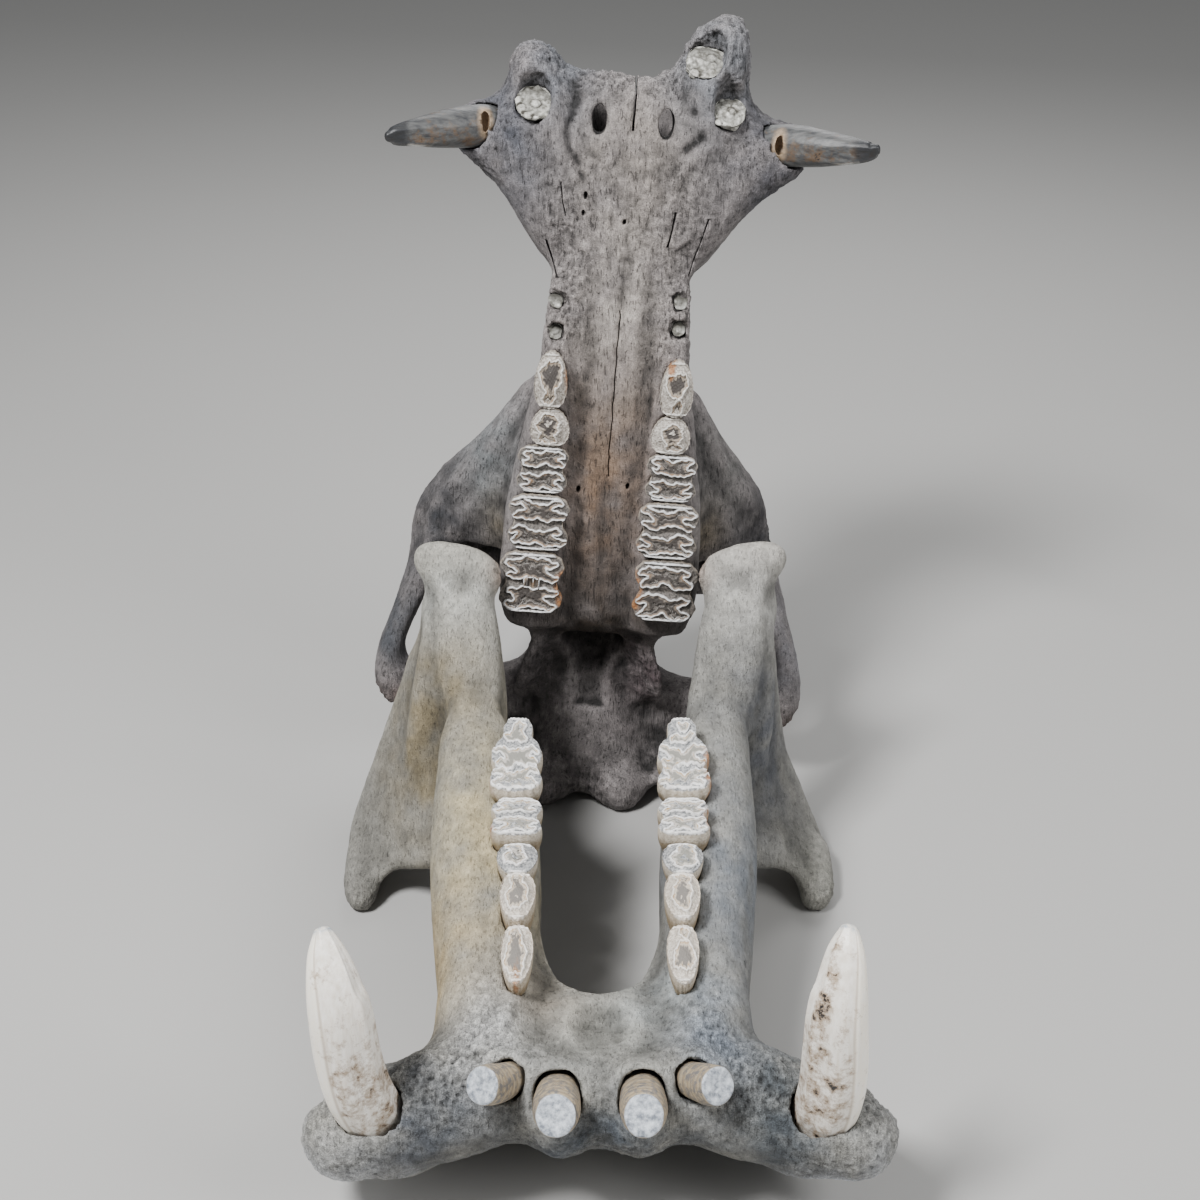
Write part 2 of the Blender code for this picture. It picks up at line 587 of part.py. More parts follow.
def cranium_bone():
    bm = bmesh.new()
    tube(bm, across(FACE), TO_ROOF, UP_SKULL, square=0.72)
    tube(bm, across(BRAINCASE), TO_ROOF, FLOOR_UP)
    tube(bm, across(OCCIPUT), TO_ROOF, FLOOR_UP)
    tube(bm, across(SAGITTAL_CREST), TO_ROOF, UP_SKULL)
    right_cheek = [(x + out, *rest) for (x, *rest), out in zip(CHEEK_AND_ARCH, RIGHT_CHEEK_OUT)]
    tube(bm, CHEEK_AND_ARCH, TO_ROOF, UP_SKULL, side=1)
    tube(bm, right_cheek, TO_ROOF, UP_SKULL, side=-1)
    for side in (-1, 1):
        tube(bm, CHEEK_FLOOR, TO_ROOF, UP_SKULL, side=side)
        tube(bm, ARCH_ROOT, TO_ROOF, SIDEWAYS, side=side)
        tube(bm, ORBIT_TUBE, TO_ROOF, SIDEWAYS, side=side)
        tube(bm, PTERYGOID, TO_ROOF, UP_SKULL, side=side)
        tube(bm, TOOTH_WALL, TO_ROOF, UP_SKULL, side=side)
        tube(bm, CANINE_PROCESS, TO_ROOF, SIDEWAYS, side=side)
        tube(bm, PAROCCIPITAL, UP_SKULL, side=side)
        ball(bm, *OCCIPITAL_CONDYLE, side=side)
    tube(bm, PREMAXILLA_WHOLE, TO_ROOF, UP_SKULL, side=1)
    tube(bm, PREMAXILLA_BROKEN, TO_ROOF, UP_SKULL, side=-1)
    bone = object_from(bm, "cranium")
    one_skin(bone, 3, CRANIUM_FILLET)
    cut_tube(bone, across(NASAL_PASSAGE), TO_ROOF, facing=UP_SKULL)
    cut_tube(bone, across(CHOANA), TO_ROOF, facing=UP_SKULL)
    cut_ball(bone, FORAMEN_MAGNUM)
    for side in (-1, 1):
        cut_ball(bone, ORBIT_HOLLOW, side)
        cut_ball(bone, INCISIVE_FORAMEN, side)
    one_skin(bone, 3)
    thin_to(bone, CRANIUM_FACES)
    return bone


def jaw_bone():
    bm = bmesh.new()
    tube(bm, level(CHIN), UPWARD, BACKWARD, square=0.8)
    for side in (-1, 1):
        thin = LEFT_BODY_THINNER if side == 1 else 0.0
        ramus = moved_in(RAMUS, LEFT_RAMUS_IN) if side == 1 else RAMUS
        hook = moved_in(ANGLE_HOOK, LEFT_HOOK_IN) if side == 1 else ANGLE_HOOK
        web = moved_in(ANGLE_WEB, LEFT_WEB_IN) if side == 1 else ANGLE_WEB
        shoulder = moved_in(RAMUS_SHOULDER, LEFT_SHOULDER_IN) if side == 1 else RAMUS_SHOULDER
        tube(bm, CHIN_BAR, UPWARD, SIDEWAYS, side=side)
        tube(bm, thinner(JAW_BODY, thin), UPWARD, BACKWARD, side=side, square=0.75)
        tube(bm, ramus, BACKWARD, UPWARD, side=side, square=0.8)
        tube(bm, hook, UPWARD, BACKWARD, side=side)
        tube(bm, web, UPWARD, SIDEWAYS, side=side)
        tube(bm, shoulder, BACKWARD, UPWARD, side=side)
        tube(bm, CORONOID, BACKWARD, UPWARD, side=side)
        tube(bm, CONDYLE_NECK, BACKWARD, UPWARD, side=side)
        tube(bm, CONDYLE, UPWARD, SIDEWAYS, side=side)
        tube(bm, INCISOR_BULGE, UPWARD, side=side)
        tube(bm, SECOND_INCISOR_BULGE, UPWARD, side=side)
        tube(bm, TUSK_ROOT_BULGE, UPWARD, side=side)
    bone = object_from(bm, "mandible")
    one_skin(bone, 3, JAW_FILLET)
    cut_tube(bone, JAW_GAP, BACKWARD, facing=UPWARD, square=1.0, sides=GAP_SIDES)
    cut_ball(bone, CHIN_SCOOP)
    one_skin(bone, 3)
    thin_to(bone, MANDIBLE_FACES)
    return bone


def crown_rings(bm, outline, rings, half_length, half_width, place):
    """One closed body through copies of the outline. Rings: height, share of the outline, extra size."""
    loops = []
    for height, share, extra in rings:
        made = bmesh.ops.create_circle(bm, cap_ends=False, segments=len(outline), radius=1)["verts"]
        for v, (along, out) in zip(made, outline):
            v.co = place @ Vector(
                (along * (half_length * share + extra), out * (half_width * share + extra), height)
            )
        loops.append(list({edge for v in made for edge in v.link_edges}))
    for lower, upper in zip(loops, loops[1:]):
        bmesh.ops.bridge_loops(bm, edges=lower + upper)
    for end in (loops[0], loops[-1]):
        bmesh.ops.contextual_create(bm, geom=end)


def cheek_tooth(bone, name, middle, length, width, height, outline, to_front, to_crown, side, colour):
    """A tooth standing in a socket that is cut for it in the bone."""
    crown, front = Vector(to_crown).normalized(), Vector(to_front).normalized()
    outward = Vector((side, 0, 0))
    frame = Matrix((front, outward, crown)).transposed().to_4x4()
    place = Matrix.Translation(Vector(middle)) @ frame
    root = (-ROOT_DEPTH, ROOT_SHARE)
    body = [root] + [(share * height, size) for share, size in CROWN]
    bm = bmesh.new()
    crown_rings(bm, OUTLINES[outline], [(h, s, 0.0) for h, s in body], length / 2, width / 2, place)
    tooth = object_from(bm, name)
    (low, _), (neck_at, neck), (belly_at, belly) = body[:3]
    around = [
        (low - GAP, ROOT_SHARE, GAP),
        (neck_at, neck, GAP),
        (belly_at, belly, GAP),
        (height + SOCKET_ABOVE, belly, GAP),
    ]
    bm = bmesh.new()
    crown_rings(bm, OUTLINES[outline], around, length / 2, width / 2, place)
    cut(bone, object_from(bm, "socket"))
    paint(tooth, colour)
    return tooth


def long_tooth(bone, name, rows, socket, up, side, colour):
    bm = bmesh.new()
    tube(bm, rows, up, side=side, sides=TOOTH_SIDES, between=1, square=0.95)
    tooth = object_from(bm, name)
    cut_tube(bone, socket, up, side=side, sides=TOOTH_SIDES, between=1, square=0.95)
    paint(tooth, colour)
    return tooth


def root_remains(bone, name, mouth, sizes, depth, below, facing, colour):
    """The broken root left in a socket: it fills the bottom and ends in a low dome."""
    outward = Vector(facing).normalized()
    wide, high = sizes
    where = [(-depth, ROOT_BOTTOM), (-below - ROOT_DOME, 1.0), (-below, ROOT_TOP)]
    rows = [(*(Vector(mouth) + outward * at), wide * size, high * size, 0.0) for at, size in where]
    bm = bmesh.new()
    tube(bm, rows, UP_SKULL, facing=facing, sides=ROOT_SIDES, between=1)
    remains = object_from(bm, name)
    where = [(-depth - GAP, ROOT_BOTTOM), (-below - ROOT_DOME, 1.0), (MOUTH_ABOVE, SOCKET_MOUTH)]
    rows = [
        (*(Vector(mouth) + outward * at), wide * size + GAP, high * size + GAP, 0.0) for at, size in where
    ]
    cut_tube(bone, rows, UP_SKULL, facing=facing, sides=ROOT_SIDES, between=1)
    paint(remains, colour)
    return remains


def linear(channel):
    value = int(channel, 16) / 255
    return value / 12.92 if value <= 0.04045 else ((value + 0.055) / 1.055) ** 2.4


def paint(obj, kind):
    name, colour, roughness = kind
    made = bpy.data.materials.new(obj.name + "_" + name)
    made.use_nodes = True
    shader = made.node_tree.nodes["Principled BSDF"]
    rgb = [linear(colour[i : i + 2]) for i in (0, 2, 4)]
    shader.inputs["Base Color"].default_value = (*rgb, 1)
    shader.inputs["Roughness"].default_value = roughness
    shader.inputs["Metallic"].default_value = 0
    made.diffuse_color = (*rgb, 1)
    obj.data.materials.clear()
    obj.data.materials.append(made)


def upper_teeth(bone):
    made = []
    for side, word in ((1, "left"), (-1, "right")):
        for name, x, front, back, width, height, outline in UPPER_TEETH:
            middle = (side * x, UPPER_GUM, (front + back) / 2)
            made.append(
                cheek_tooth(
                    bone, f"upper_{name}_{word}", middle, front - back, width, height, outline,
                    UP_SKULL, TO_PALATE, side, CHEEK_TOOTH_UPPER,
                )
            )
        canine = forward(UPPER_CANINE, *CANINE_FORWARD[side])
        socket = wider(canine, GAP)
        made.append(long_tooth(bone, f"upper_canine_{word}", canine, socket, TO_ROOF, side, CANINE_UPPER))
    for roots, facing in ((INCISOR_ROOTS, INCISOR_ROOT_FACES), (PREMOLAR_ROOTS, PREMOLAR_ROOT_FACES)):
        for name, x, height, length, wide, high, depth, below in roots:
            made.append(
                root_remains(
                    bone, name, (x, height, length), (wide, high), depth, below, facing, ROOT_REMAINS
                )
            )
    return made


def lower_teeth(bone):
    made = []
    rise = math.radians(LOWER_ROW_RISES)
    to_back = (0, math.cos(rise), math.sin(rise))
    to_crown = (0, -math.sin(rise), math.cos(rise))
    to_front = [-value for value in to_back]
    for side, word, tusk in ((1, "left", TUSK_LEFT), (-1, "right", TUSK_RIGHT)):
        for name, x, front, back, width, height, outline, gum in LOWER_TEETH:
            middle = (side * x, (front + back) / 2, gum)
            made.append(
                cheek_tooth(
                    bone, f"lower_{name}_{word}", middle, back - front, width, height, outline,
                    to_front, to_crown, side, CHEEK_TOOTH_LOWER,
                )
            )
        made.append(
            long_tooth(bone, f"lower_canine_{word}", tusk, wider(tusk, GAP), BACKWARD, side, CANINE_LOWER)
        )
        made.append(
            long_tooth(
                bone, f"lower_i1_{word}", FIRST_INCISOR, FIRST_INCISOR_SOCKET, UPWARD, side, INCISOR
            )
        )
        made.append(
            long_tooth(
                bone, f"lower_i2_{word}", SECOND_INCISOR, SECOND_INCISOR_SOCKET, UPWARD, side, INCISOR
            )
        )
    return made


def standing():
    """Where the upright cranium goes: leaned back and to the side, behind the jaw."""
    back, over = math.radians(LEAN_BACK), math.radians(LEAN_SIDE)
    up = Vector((math.sin(over), math.sin(back) * math.cos(over), math.cos(back) * math.cos(over)))
    roof = Vector((0, math.cos(back), -math.sin(back)))
    turn = Matrix((roof.cross(up), roof, up)).transposed().to_4x4()
    base = Vector((*STANDS_AT, CONTACT_HEIGHT * math.sin(back))) * CM
    return Matrix.Translation(base) @ turn


def flat_at_floor(obj):
    """Trims off what is below the floor, so the bone has small real flats to stand on."""
    bm = bmesh.new()
    bm.from_mesh(obj.data)
    geometry = [*bm.verts, *bm.edges, *bm.faces]
    cut_edges = bmesh.ops.bisect_plane(
        bm, geom=geometry, dist=1e-6, plane_co=(0, 0, 0), plane_no=(0, 0, -1), clear_outer=True
    )["geom_cut"]
    edges = [item for item in cut_edges if isinstance(item, bmesh.types.BMEdge)]
    bmesh.ops.holes_fill(bm, edges=edges)
    bm.to_mesh(obj.data)
    bm.free()


def build():
    cleared_scene()
    cranium = cranium_bone()
    uppers = [cranium] + upper_teeth(cranium)
    stands = standing()
    for obj in uppers:
        obj.data.transform(stands)
    jaw = jaw_bone()
    lowers = [jaw] + lower_teeth(jaw)
    for bone, colour in ((cranium, CRANIUM_BONE), (jaw, JAW_BONE)):
        flat_at_floor(bone)
        paint(bone, colour)
    shift = Matrix.Translation(Vector(SHIFT) * CM)
    for obj in uppers + lowers:
        obj.data.transform(shift)


build()
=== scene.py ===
# %% [markdown]
# # A hippopotamus skull with its jaws wide open
#
# The object is two loose bones, twenty-eight loose teeth and the remains of seven roots. The
# cranium stands upright on its occiput, so the palate faces the camera, and the lower jaw lies on
# the floor in front of it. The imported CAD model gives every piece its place. Here each piece is
# made again with many more faces, because bone and teeth are all small forms: sockets, cracks,
# pits, worn enamel.
#
# Loading the frame comes first, and its box is kept, because nothing may grow out of it.

import math

import bmesh
import bpy
import numpy as np
from mathutils import Matrix, Vector, noise
from mathutils.bvhtree import BVHTree


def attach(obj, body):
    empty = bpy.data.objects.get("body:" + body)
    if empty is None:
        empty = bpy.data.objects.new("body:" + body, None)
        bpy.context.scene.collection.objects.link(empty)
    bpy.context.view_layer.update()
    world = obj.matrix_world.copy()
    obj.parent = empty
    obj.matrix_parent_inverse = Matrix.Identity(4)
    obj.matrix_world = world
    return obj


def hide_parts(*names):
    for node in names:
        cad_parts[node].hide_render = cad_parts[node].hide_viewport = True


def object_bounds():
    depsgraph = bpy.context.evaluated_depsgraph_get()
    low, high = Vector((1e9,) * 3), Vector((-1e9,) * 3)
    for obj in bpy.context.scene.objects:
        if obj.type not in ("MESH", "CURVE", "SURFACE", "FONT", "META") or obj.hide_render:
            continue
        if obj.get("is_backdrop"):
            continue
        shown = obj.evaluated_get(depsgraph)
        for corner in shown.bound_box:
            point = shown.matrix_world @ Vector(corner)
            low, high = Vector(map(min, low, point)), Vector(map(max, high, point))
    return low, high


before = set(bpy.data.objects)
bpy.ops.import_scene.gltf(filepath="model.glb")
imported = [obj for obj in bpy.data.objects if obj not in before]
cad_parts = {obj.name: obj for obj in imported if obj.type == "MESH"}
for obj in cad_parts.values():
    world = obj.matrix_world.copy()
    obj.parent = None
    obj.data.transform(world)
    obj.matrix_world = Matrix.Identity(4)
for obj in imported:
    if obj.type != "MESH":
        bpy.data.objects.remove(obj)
cad_low, cad_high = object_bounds()
print("CAD box in mm:", [round(1000 * (b - a), 1) for a, b in zip(cad_low, cad_high)])

# %% [markdown]
# ## Drawing a body through ovals
#
# A bone has hardly a flat face or a straight edge, so blocks are no help. A sculptor would push
# clay about. In code, the nearest thing is a loft: a few ovals are placed along a path, one
# smooth curve is drawn through all their numbers, and the ovals are bridged into a closed body.
# Each region of a bone becomes one such body. A row is a place, two half sizes and, where the
# oval is turned, an angle in degrees. All lengths are in centimetres.

# %% Rows, rings and tubes
CM = 0.01
SIDES = ((1, "left"), (-1, "right"))


def eased(rows, between):
    """The rows with more between each two, on one smooth curve through them all."""
    ends = [rows[0], *rows, rows[-1]]
    out = []
    for p, q, r, s in zip(ends, ends[1:], ends[2:], ends[3:]):
        for step in range(between):
            t = step / between
            out.append(
                tuple(
                    b + 0.5 * t * (c - a + t * (2 * a - 5 * b + 4 * c - d + t * (3 * (b - c) + d - a)))
                    for a, b, c, d in zip(p, q, r, s)
                )
            )
    return out + [tuple(rows[-1])]


def edges_of(verts):
    """Every edge that ends at one of the points."""
    return list({edge for v in verts for edge in v.link_edges})


def ring(bm, place, wide, high, square, sides, shape, t):
    """One oval. A shape, where given, swells or trims it by angle, and marks its points."""
    made = bmesh.ops.create_circle(bm, cap_ends=False, segments=sides, radius=1)["verts"]
    for v in made:
        angle = math.atan2(v.co.y, v.co.x)
        size, marks = shape(t, angle) if shape else (1.0, {})
        x = math.copysign(abs(v.co.x) ** square, v.co.x) * wide * size
        y = math.copysign(abs(v.co.y) ** square, v.co.y) * high * size
        v.co = place @ Vector((x, y, 0))
        for name, value in marks.items():
            v[bm.verts.layers.float[name]] = value
    return edges_of(made)


def closed(bm, rings):
    """Bridges the rings one after the other and closes both ends."""
    for lower, upper in zip(rings, rings[1:]):
        bmesh.ops.bridge_loops(bm, edges=lower + upper)
    for end in (rings[0], rings[-1]):
        bmesh.ops.contextual_create(bm, geom=end)


def tube(bm, rows, up, facing=None, square=0.85, side=1, sides=28, between=4, shape=None):
    """One closed body through ovals. An oval's second half size lies along up, and its plane is
    square to facing, or to the path where facing isn't given. Side -1 mirrors it."""
    rows = eased(rows, between)
    centres = [Vector(row[:3]) for row in rows]
    rings = []
    for i, (centre, row) in enumerate(zip(centres, rows)):
        before, after = centres[max(i - 1, 0)], centres[min(i + 1, len(rows) - 1)]
        normal = Vector(facing) if facing else (after - before).normalized()
        across_path = Vector(up).cross(normal).normalized()
        upright = normal.cross(across_path)
        turn = Matrix.Rotation(math.radians(row[5] if len(row) > 5 else 0.0), 4, "Z")
        axes = Matrix((across_path, upright, normal)).transposed().to_4x4()
        place = Matrix.Translation(centre) @ axes @ turn
        rings.append(ring(bm, place, row[3], row[4], square, sides, shape, i / (len(rows) - 1)))
    closed(bm, rings)
    made = list({v for edges in rings for edge in edges for v in edge.verts})
    bmesh.ops.scale(bm, vec=(side, 1, 1), verts=made)


def ball(bm, centre, radii, side=1):
    place = Matrix.Translation(Vector((side * centre[0], *centre[1:]))) @ Matrix.Diagonal((*radii, 1))
    bmesh.ops.create_icosphere(bm, subdivisions=4, radius=1, matrix=place)


def in_scene(name, data):
    obj = bpy.data.objects.new(name, data)
    bpy.context.scene.collection.objects.link(obj)
    return obj


def object_from(bm, name):
    """A new object from the bmesh, which was drawn in centimetres."""
    bmesh.ops.scale(bm, vec=(CM, CM, CM), verts=bm.verts)
    bmesh.ops.recalc_face_normals(bm, faces=bm.faces)
    mesh = bpy.data.meshes.new(name)
    bm.to_mesh(mesh)
    bm.free()
    return in_scene(name, mesh)


# %% [markdown]
# ## From many bodies to one skin
#
# The bodies overlap like lumps of clay that haven't been smoothed together. Joining them with
# Booleans would leave a sharp crease at each meeting. A voxel remesh wraps one skin round all of
# them instead. Swelling that skin and shrinking it back fills the creases with soft fillets, as
# bone has. The same remesh at a finer size gives the even, dense faces that small relief needs.

# %% Skins and cuts
def apply_modifiers(obj):
    """The object's mesh as its modifiers leave it, with the modifiers gone."""
    graph = bpy.context.evaluated_depsgraph_get()
    old = obj.data
    obj.data = bpy.data.meshes.new_from_object(obj.evaluated_get(graph))
    obj.data.name = obj.name
    obj.modifiers.clear()
    bpy.data.meshes.remove(old)


def one_skin(obj, voxel, passes, swells=(0.0,)):
    """A voxel remesh and some smoothing, once for every swell, which moves the skin out first."""
    for swell in swells:
        if swell:
            displace = obj.modifiers.new("Swell", "DISPLACE")
            displace.mid_level = 0.0
            displace.strength = swell * CM
        remesh = obj.modifiers.new("One skin", "REMESH")
        remesh.mode = "VOXEL"
        remesh.voxel_size = voxel * CM
        smooth = obj.modifiers.new("Soften", "SMOOTH")
        smooth.factor = 0.5
        smooth.iterations = passes
    apply_modifiers(obj)
    print(obj.name, "has", len(obj.data.polygons), "faces")


def cut(obj, cutter):
    """Takes the cutter's volume out of the object, and removes the cutter."""
    boolean = obj.modifiers.new("Opening", "BOOLEAN")
    boolean.operation = "DIFFERENCE"
    boolean.solver = "EXACT"
    boolean.object = cutter
    apply_modifiers(obj)
    bpy.data.objects.remove(cutter)


def cut_tube(obj, rows, up, **shape):
    bm = bmesh.new()
    tube(bm, rows, up, **shape)
    cut(obj, object_from(bm, "cutter"))


def cut_ball(obj, hollow, side=1):
    bm = bmesh.new()
    ball(bm, *hollow, side=side)
    cut(obj, object_from(bm, "cutter"))


ROUGH_VOXEL = 0.40  # for the forms
FINE_VOXEL = 0.25  # for the finished skin

# %% [markdown]
# ## The cranium's forms
#
# The rows follow the bone: the long face with its waist behind the canines, the braincase, the
# broad occiput it stands on, the cheek plates that run into the thin arches, the eye rings, the
# thin pterygoid plates behind the palate, and the two lobes in front that held the incisors. One
# lobe is broken off shorter. They are built upright: x, height above the palate, length from the
# occiput. Rows of four numbers are for ovals on the middle line: length, half width, low side,
# high side.

# %% Rows of the cranium
FACE = (
    (14.5, 3.2, 4.2, 14.6), (16.6, 4.4, 2.2, 15.0), (18.4, 6.4, 0.9, 15.4), (21.0, 6.9, 0.4, 16.0),
    (25.0, 7.0, 0.3, 15.9), (30.0, 6.8, 0.2, 14.6), (35.0, 5.9, 0.2, 13.3), (40.0, 5.0, 0.2, 12.2),
    (44.0, 5.0, 0.2, 11.6), (47.0, 5.4, 0.2, 11.3), (50.0, 6.4, 0.2, 11.4), (53.0, 6.8, 0.3, 11.8),
    (56.0, 6.5, 0.5, 11.8), (58.5, 6.0, 0.8, 10.8), (60.4, 5.2, 1.3, 7.0),
)
BRAINCASE = (
    (2.2, 7.6, 4.6, 17.2), (4.0, 8.0, 4.4, 17.3), (7.0, 6.0, 4.5, 16.1), (10.0, 5.3, 4.9, 15.4),
    (14.0, 5.2, 5.3, 15.3), (18.0, 5.8, 5.0, 15.6), (22.0, 6.6, 4.0, 16.0),
)
OCCIPUT = (
    (1.7, 10.0, 6.5, 16.8), (2.7, 12.0, 5.0, 18.2), (4.0, 12.4, 4.6, 18.6), (5.8, 10.0, 5.6, 17.4),
)
SAGITTAL_CREST = (
    (2.5, 1.4, 15.5, 18.3), (6.0, 0.8, 14.8, 17.2), (10.0, 0.7, 14.4, 16.5), (14.0, 0.9, 14.2, 16.0),
)
CHEEK_AND_ARCH = (
    (4.8, 5.6, 36.6, 1.9, 2.2, 40.0), (6.2, 6.0, 33.6, 2.5, 2.4, 45.0), (7.9, 6.6, 30.8, 3.2, 2.5, 46.0),
    (9.7, 7.2, 28.0, 3.9, 2.3, 46.0), (11.0, 8.0, 25.2, 3.8, 1.9, 50.0),
    (12.6, 8.7, 22.4, 3.1, 1.5, 60.0), (14.2, 9.1, 19.6, 2.6, 1.25, 72.0),
    (15.7, 8.9, 16.0, 2.2, 1.1, 82.0), (16.9, 8.4, 12.4, 2.1, 1.05, 86.0),
    (17.0, 8.0, 9.6, 2.1, 1.25, 86.0), (15.9, 7.8, 7.6, 1.9, 1.4, 80.0),
)
RIGHT_CHEEK_OUT = (0.0, 0.0, 0.1, 0.4, 1.2, 1.1, 0.3, 0.0, 0.0, 0.0, 0.0)  # its x beyond the left
CHEEK_FLOOR = (
    (5.6, 5.0, 31.0, 2.0, 2.2), (6.8, 5.6, 27.5, 2.4, 2.2), (7.8, 6.2, 24.5, 2.4, 1.8),
    (8.8, 6.8, 22.3, 1.6, 1.2),
)
ARCH_ROOT = (
    (16.4, 7.8, 8.9, 1.6, 1.8), (13.0, 8.0, 8.6, 1.9, 1.6), (9.0, 8.8, 8.4, 2.3, 2.0),
    (4.5, 9.8, 8.0, 3.2, 3.2),
)
ORBIT_TUBE = (
    (5.0, 13.3, 21.0, 4.6, 2.9), (8.5, 13.9, 21.2, 4.3, 3.6), (11.2, 14.2, 21.4, 4.4, 4.3),
    (12.9, 14.2, 21.5, 4.2, 4.2),
)
PTERYGOID = (
    (3.3, 3.6, 19.0, 2.0, 0.6, -62.0), (3.9, 4.0, 15.8, 2.3, 0.5, -58.0),
    (4.7, 4.4, 12.8, 2.4, 0.5, -52.0), (5.3, 5.0, 10.4, 1.7, 0.45, -48.0),
)
TOOTH_WALL = (
    (5.0, 1.2, 17.5, 2.2, 1.2), (5.2, 1.0, 21.0, 2.8, 1.7), (5.0, 1.0, 27.0, 2.8, 1.7),
    (4.8, 1.0, 33.0, 2.1, 1.6), (4.5, 0.9, 39.0, 1.4, 1.3), (4.4, 0.9, 45.5, 1.0, 1.0),
)
CANINE_PROCESS = (
    (3.0, 5.8, 51.8, 6.4, 5.3), (6.0, 5.6, 52.3, 6.0, 5.2), (8.3, 4.7, 54.0, 4.4, 4.5),
    (10.4, 3.6, 55.2, 2.9, 3.5), (12.0, 2.7, 55.7, 2.1, 2.6), (12.9, 2.4, 55.7, 1.3, 1.7),
)
PREMAXILLA_WHOLE = (
    (4.6, 5.8, 52.0, 3.2, 4.8), (5.2, 5.2, 56.0, 3.1, 4.9), (5.7, 4.2, 60.0, 2.7, 4.3),
    (5.8, 3.4, 62.5, 2.5, 3.6), (6.2, 3.0, 64.3, 1.7, 2.4), (6.5, 2.9, 65.1, 0.8, 1.1),
)
PREMAXILLA_BROKEN = (
    (4.4, 5.6, 51.0, 3.2, 4.8), (5.6, 5.2, 55.5, 3.0, 5.0), (6.9, 4.1, 58.6, 2.4, 4.2),
    (7.35, 3.5, 60.4, 2.0, 2.9), (7.5, 3.1, 61.6, 1.6, 2.0), (7.55, 3.0, 62.3, 0.9, 1.0),
)
PAROCCIPITAL = (
    (8.2, 7.5, 3.6, 1.8, 1.5), (8.8, 4.4, 3.6, 1.4, 1.1), (9.1, 2.6, 3.4, 0.8, 0.7),
)
ORBIT_HOLLOW = ((13.6, 14.1, 21.6), (5.2, 3.15, 3.35))
FORAMEN_MAGNUM = ((0.0, 8.6, 0.0), (2.1, 1.9, 4.5))
INCISIVE_FORAMEN = ((2.45, 2.0, 57.2), (0.6, 3.2, 1.15))
OCCIPITAL_CONDYLE = ((3.3, 5.7, 2.1), (2.3, 3.0, 2.5))
NASAL_PASSAGE = (
    (41.0, 1.4, 5.2, 8.0), (46.0, 3.0, 3.6, 9.0), (52.0, 3.9, 3.0, 9.6), (58.0, 4.4, 3.0, 9.8),
    (65.0, 5.2, 3.4, 12.5),
)
CHOANA = (
    (9.0, 2.3, 0.5, 5.6), (14.0, 2.6, 0.5, 6.0), (17.0, 2.5, 2.0, 6.2), (24.0, 1.6, 2.8, 5.4),
)
UP_SKULL, TO_ROOF, TO_PALATE, SIDEWAYS = (0, 0, 1), (0, 1, 0), (0, -1, 0), (1, 0, 0)
FLOOR_UP = (-0.072, -0.191, 0.979)  # the way up from the floor, seen from the cranium


def across(rows):
    """Rows of (length, half width, low side, high side) as rows of places and half sizes."""
    return [(0.0, (low + high) / 2, along, wide, (high - low) / 2) for along, wide, low, high in rows]


# %% Joining the cranium
def cranium_forms():
    bm = bmesh.new()
    tube(bm, across(FACE), TO_ROOF, UP_SKULL, square=0.72)
    for rows, facing in ((BRAINCASE, FLOOR_UP), (OCCIPUT, FLOOR_UP), (SAGITTAL_CREST, UP_SKULL)):
        tube(bm, across(rows), TO_ROOF, facing)
    right_cheek = [(x + out, *rest) for (x, *rest), out in zip(CHEEK_AND_ARCH, RIGHT_CHEEK_OUT)]
    tube(bm, CHEEK_AND_ARCH, TO_ROOF, UP_SKULL, side=1)
    tube(bm, right_cheek, TO_ROOF, UP_SKULL, side=-1)
    for side in (-1, 1):
        for rows, facing in (
            (CHEEK_FLOOR, UP_SKULL), (ARCH_ROOT, SIDEWAYS), (ORBIT_TUBE, SIDEWAYS),
            (PTERYGOID, UP_SKULL), (TOOTH_WALL, UP_SKULL), (CANINE_PROCESS, SIDEWAYS),
        ):
            tube(bm, rows, TO_ROOF, facing, side=side)
        tube(bm, PAROCCIPITAL, UP_SKULL, side=side)
        ball(bm, *OCCIPITAL_CONDYLE, side=side)
    tube(bm, PREMAXILLA_WHOLE, TO_ROOF, UP_SKULL, side=1)
    tube(bm, PREMAXILLA_BROKEN, TO_ROOF, UP_SKULL, side=-1)
    return object_from(bm, "skull_bone")


FILL_CREASES = (0.0, 1.3, -1.3)  # the skin as it is, swollen, and shrunk back
cranium = cranium_forms()
one_skin(cranium, ROUGH_VOXEL, 3, FILL_CREASES)
for passage in (NASAL_PASSAGE, CHOANA):
    cut_tube(cranium, across(passage), TO_ROOF, facing=UP_SKULL)
cut_ball(cranium, FORAMEN_MAGNUM)
for side in (-1, 1):
    cut_ball(cranium, ORBIT_HOLLOW, side)
    cut_ball(cranium, INCISIVE_FORAMEN, side)

# %% [markdown]
# ## The lower jaw's forms
#
# The two halves are grown together at the chin. A broad bar across the front holds the tusks and
# the four incisors. Each half runs back past the cheek teeth and turns up into a thin, wide ramus
# with the coronoid process, the condyle and, low at the back, the hooked angle that the jaw rests
# on. The left half is a little slimmer, as in the specimen.

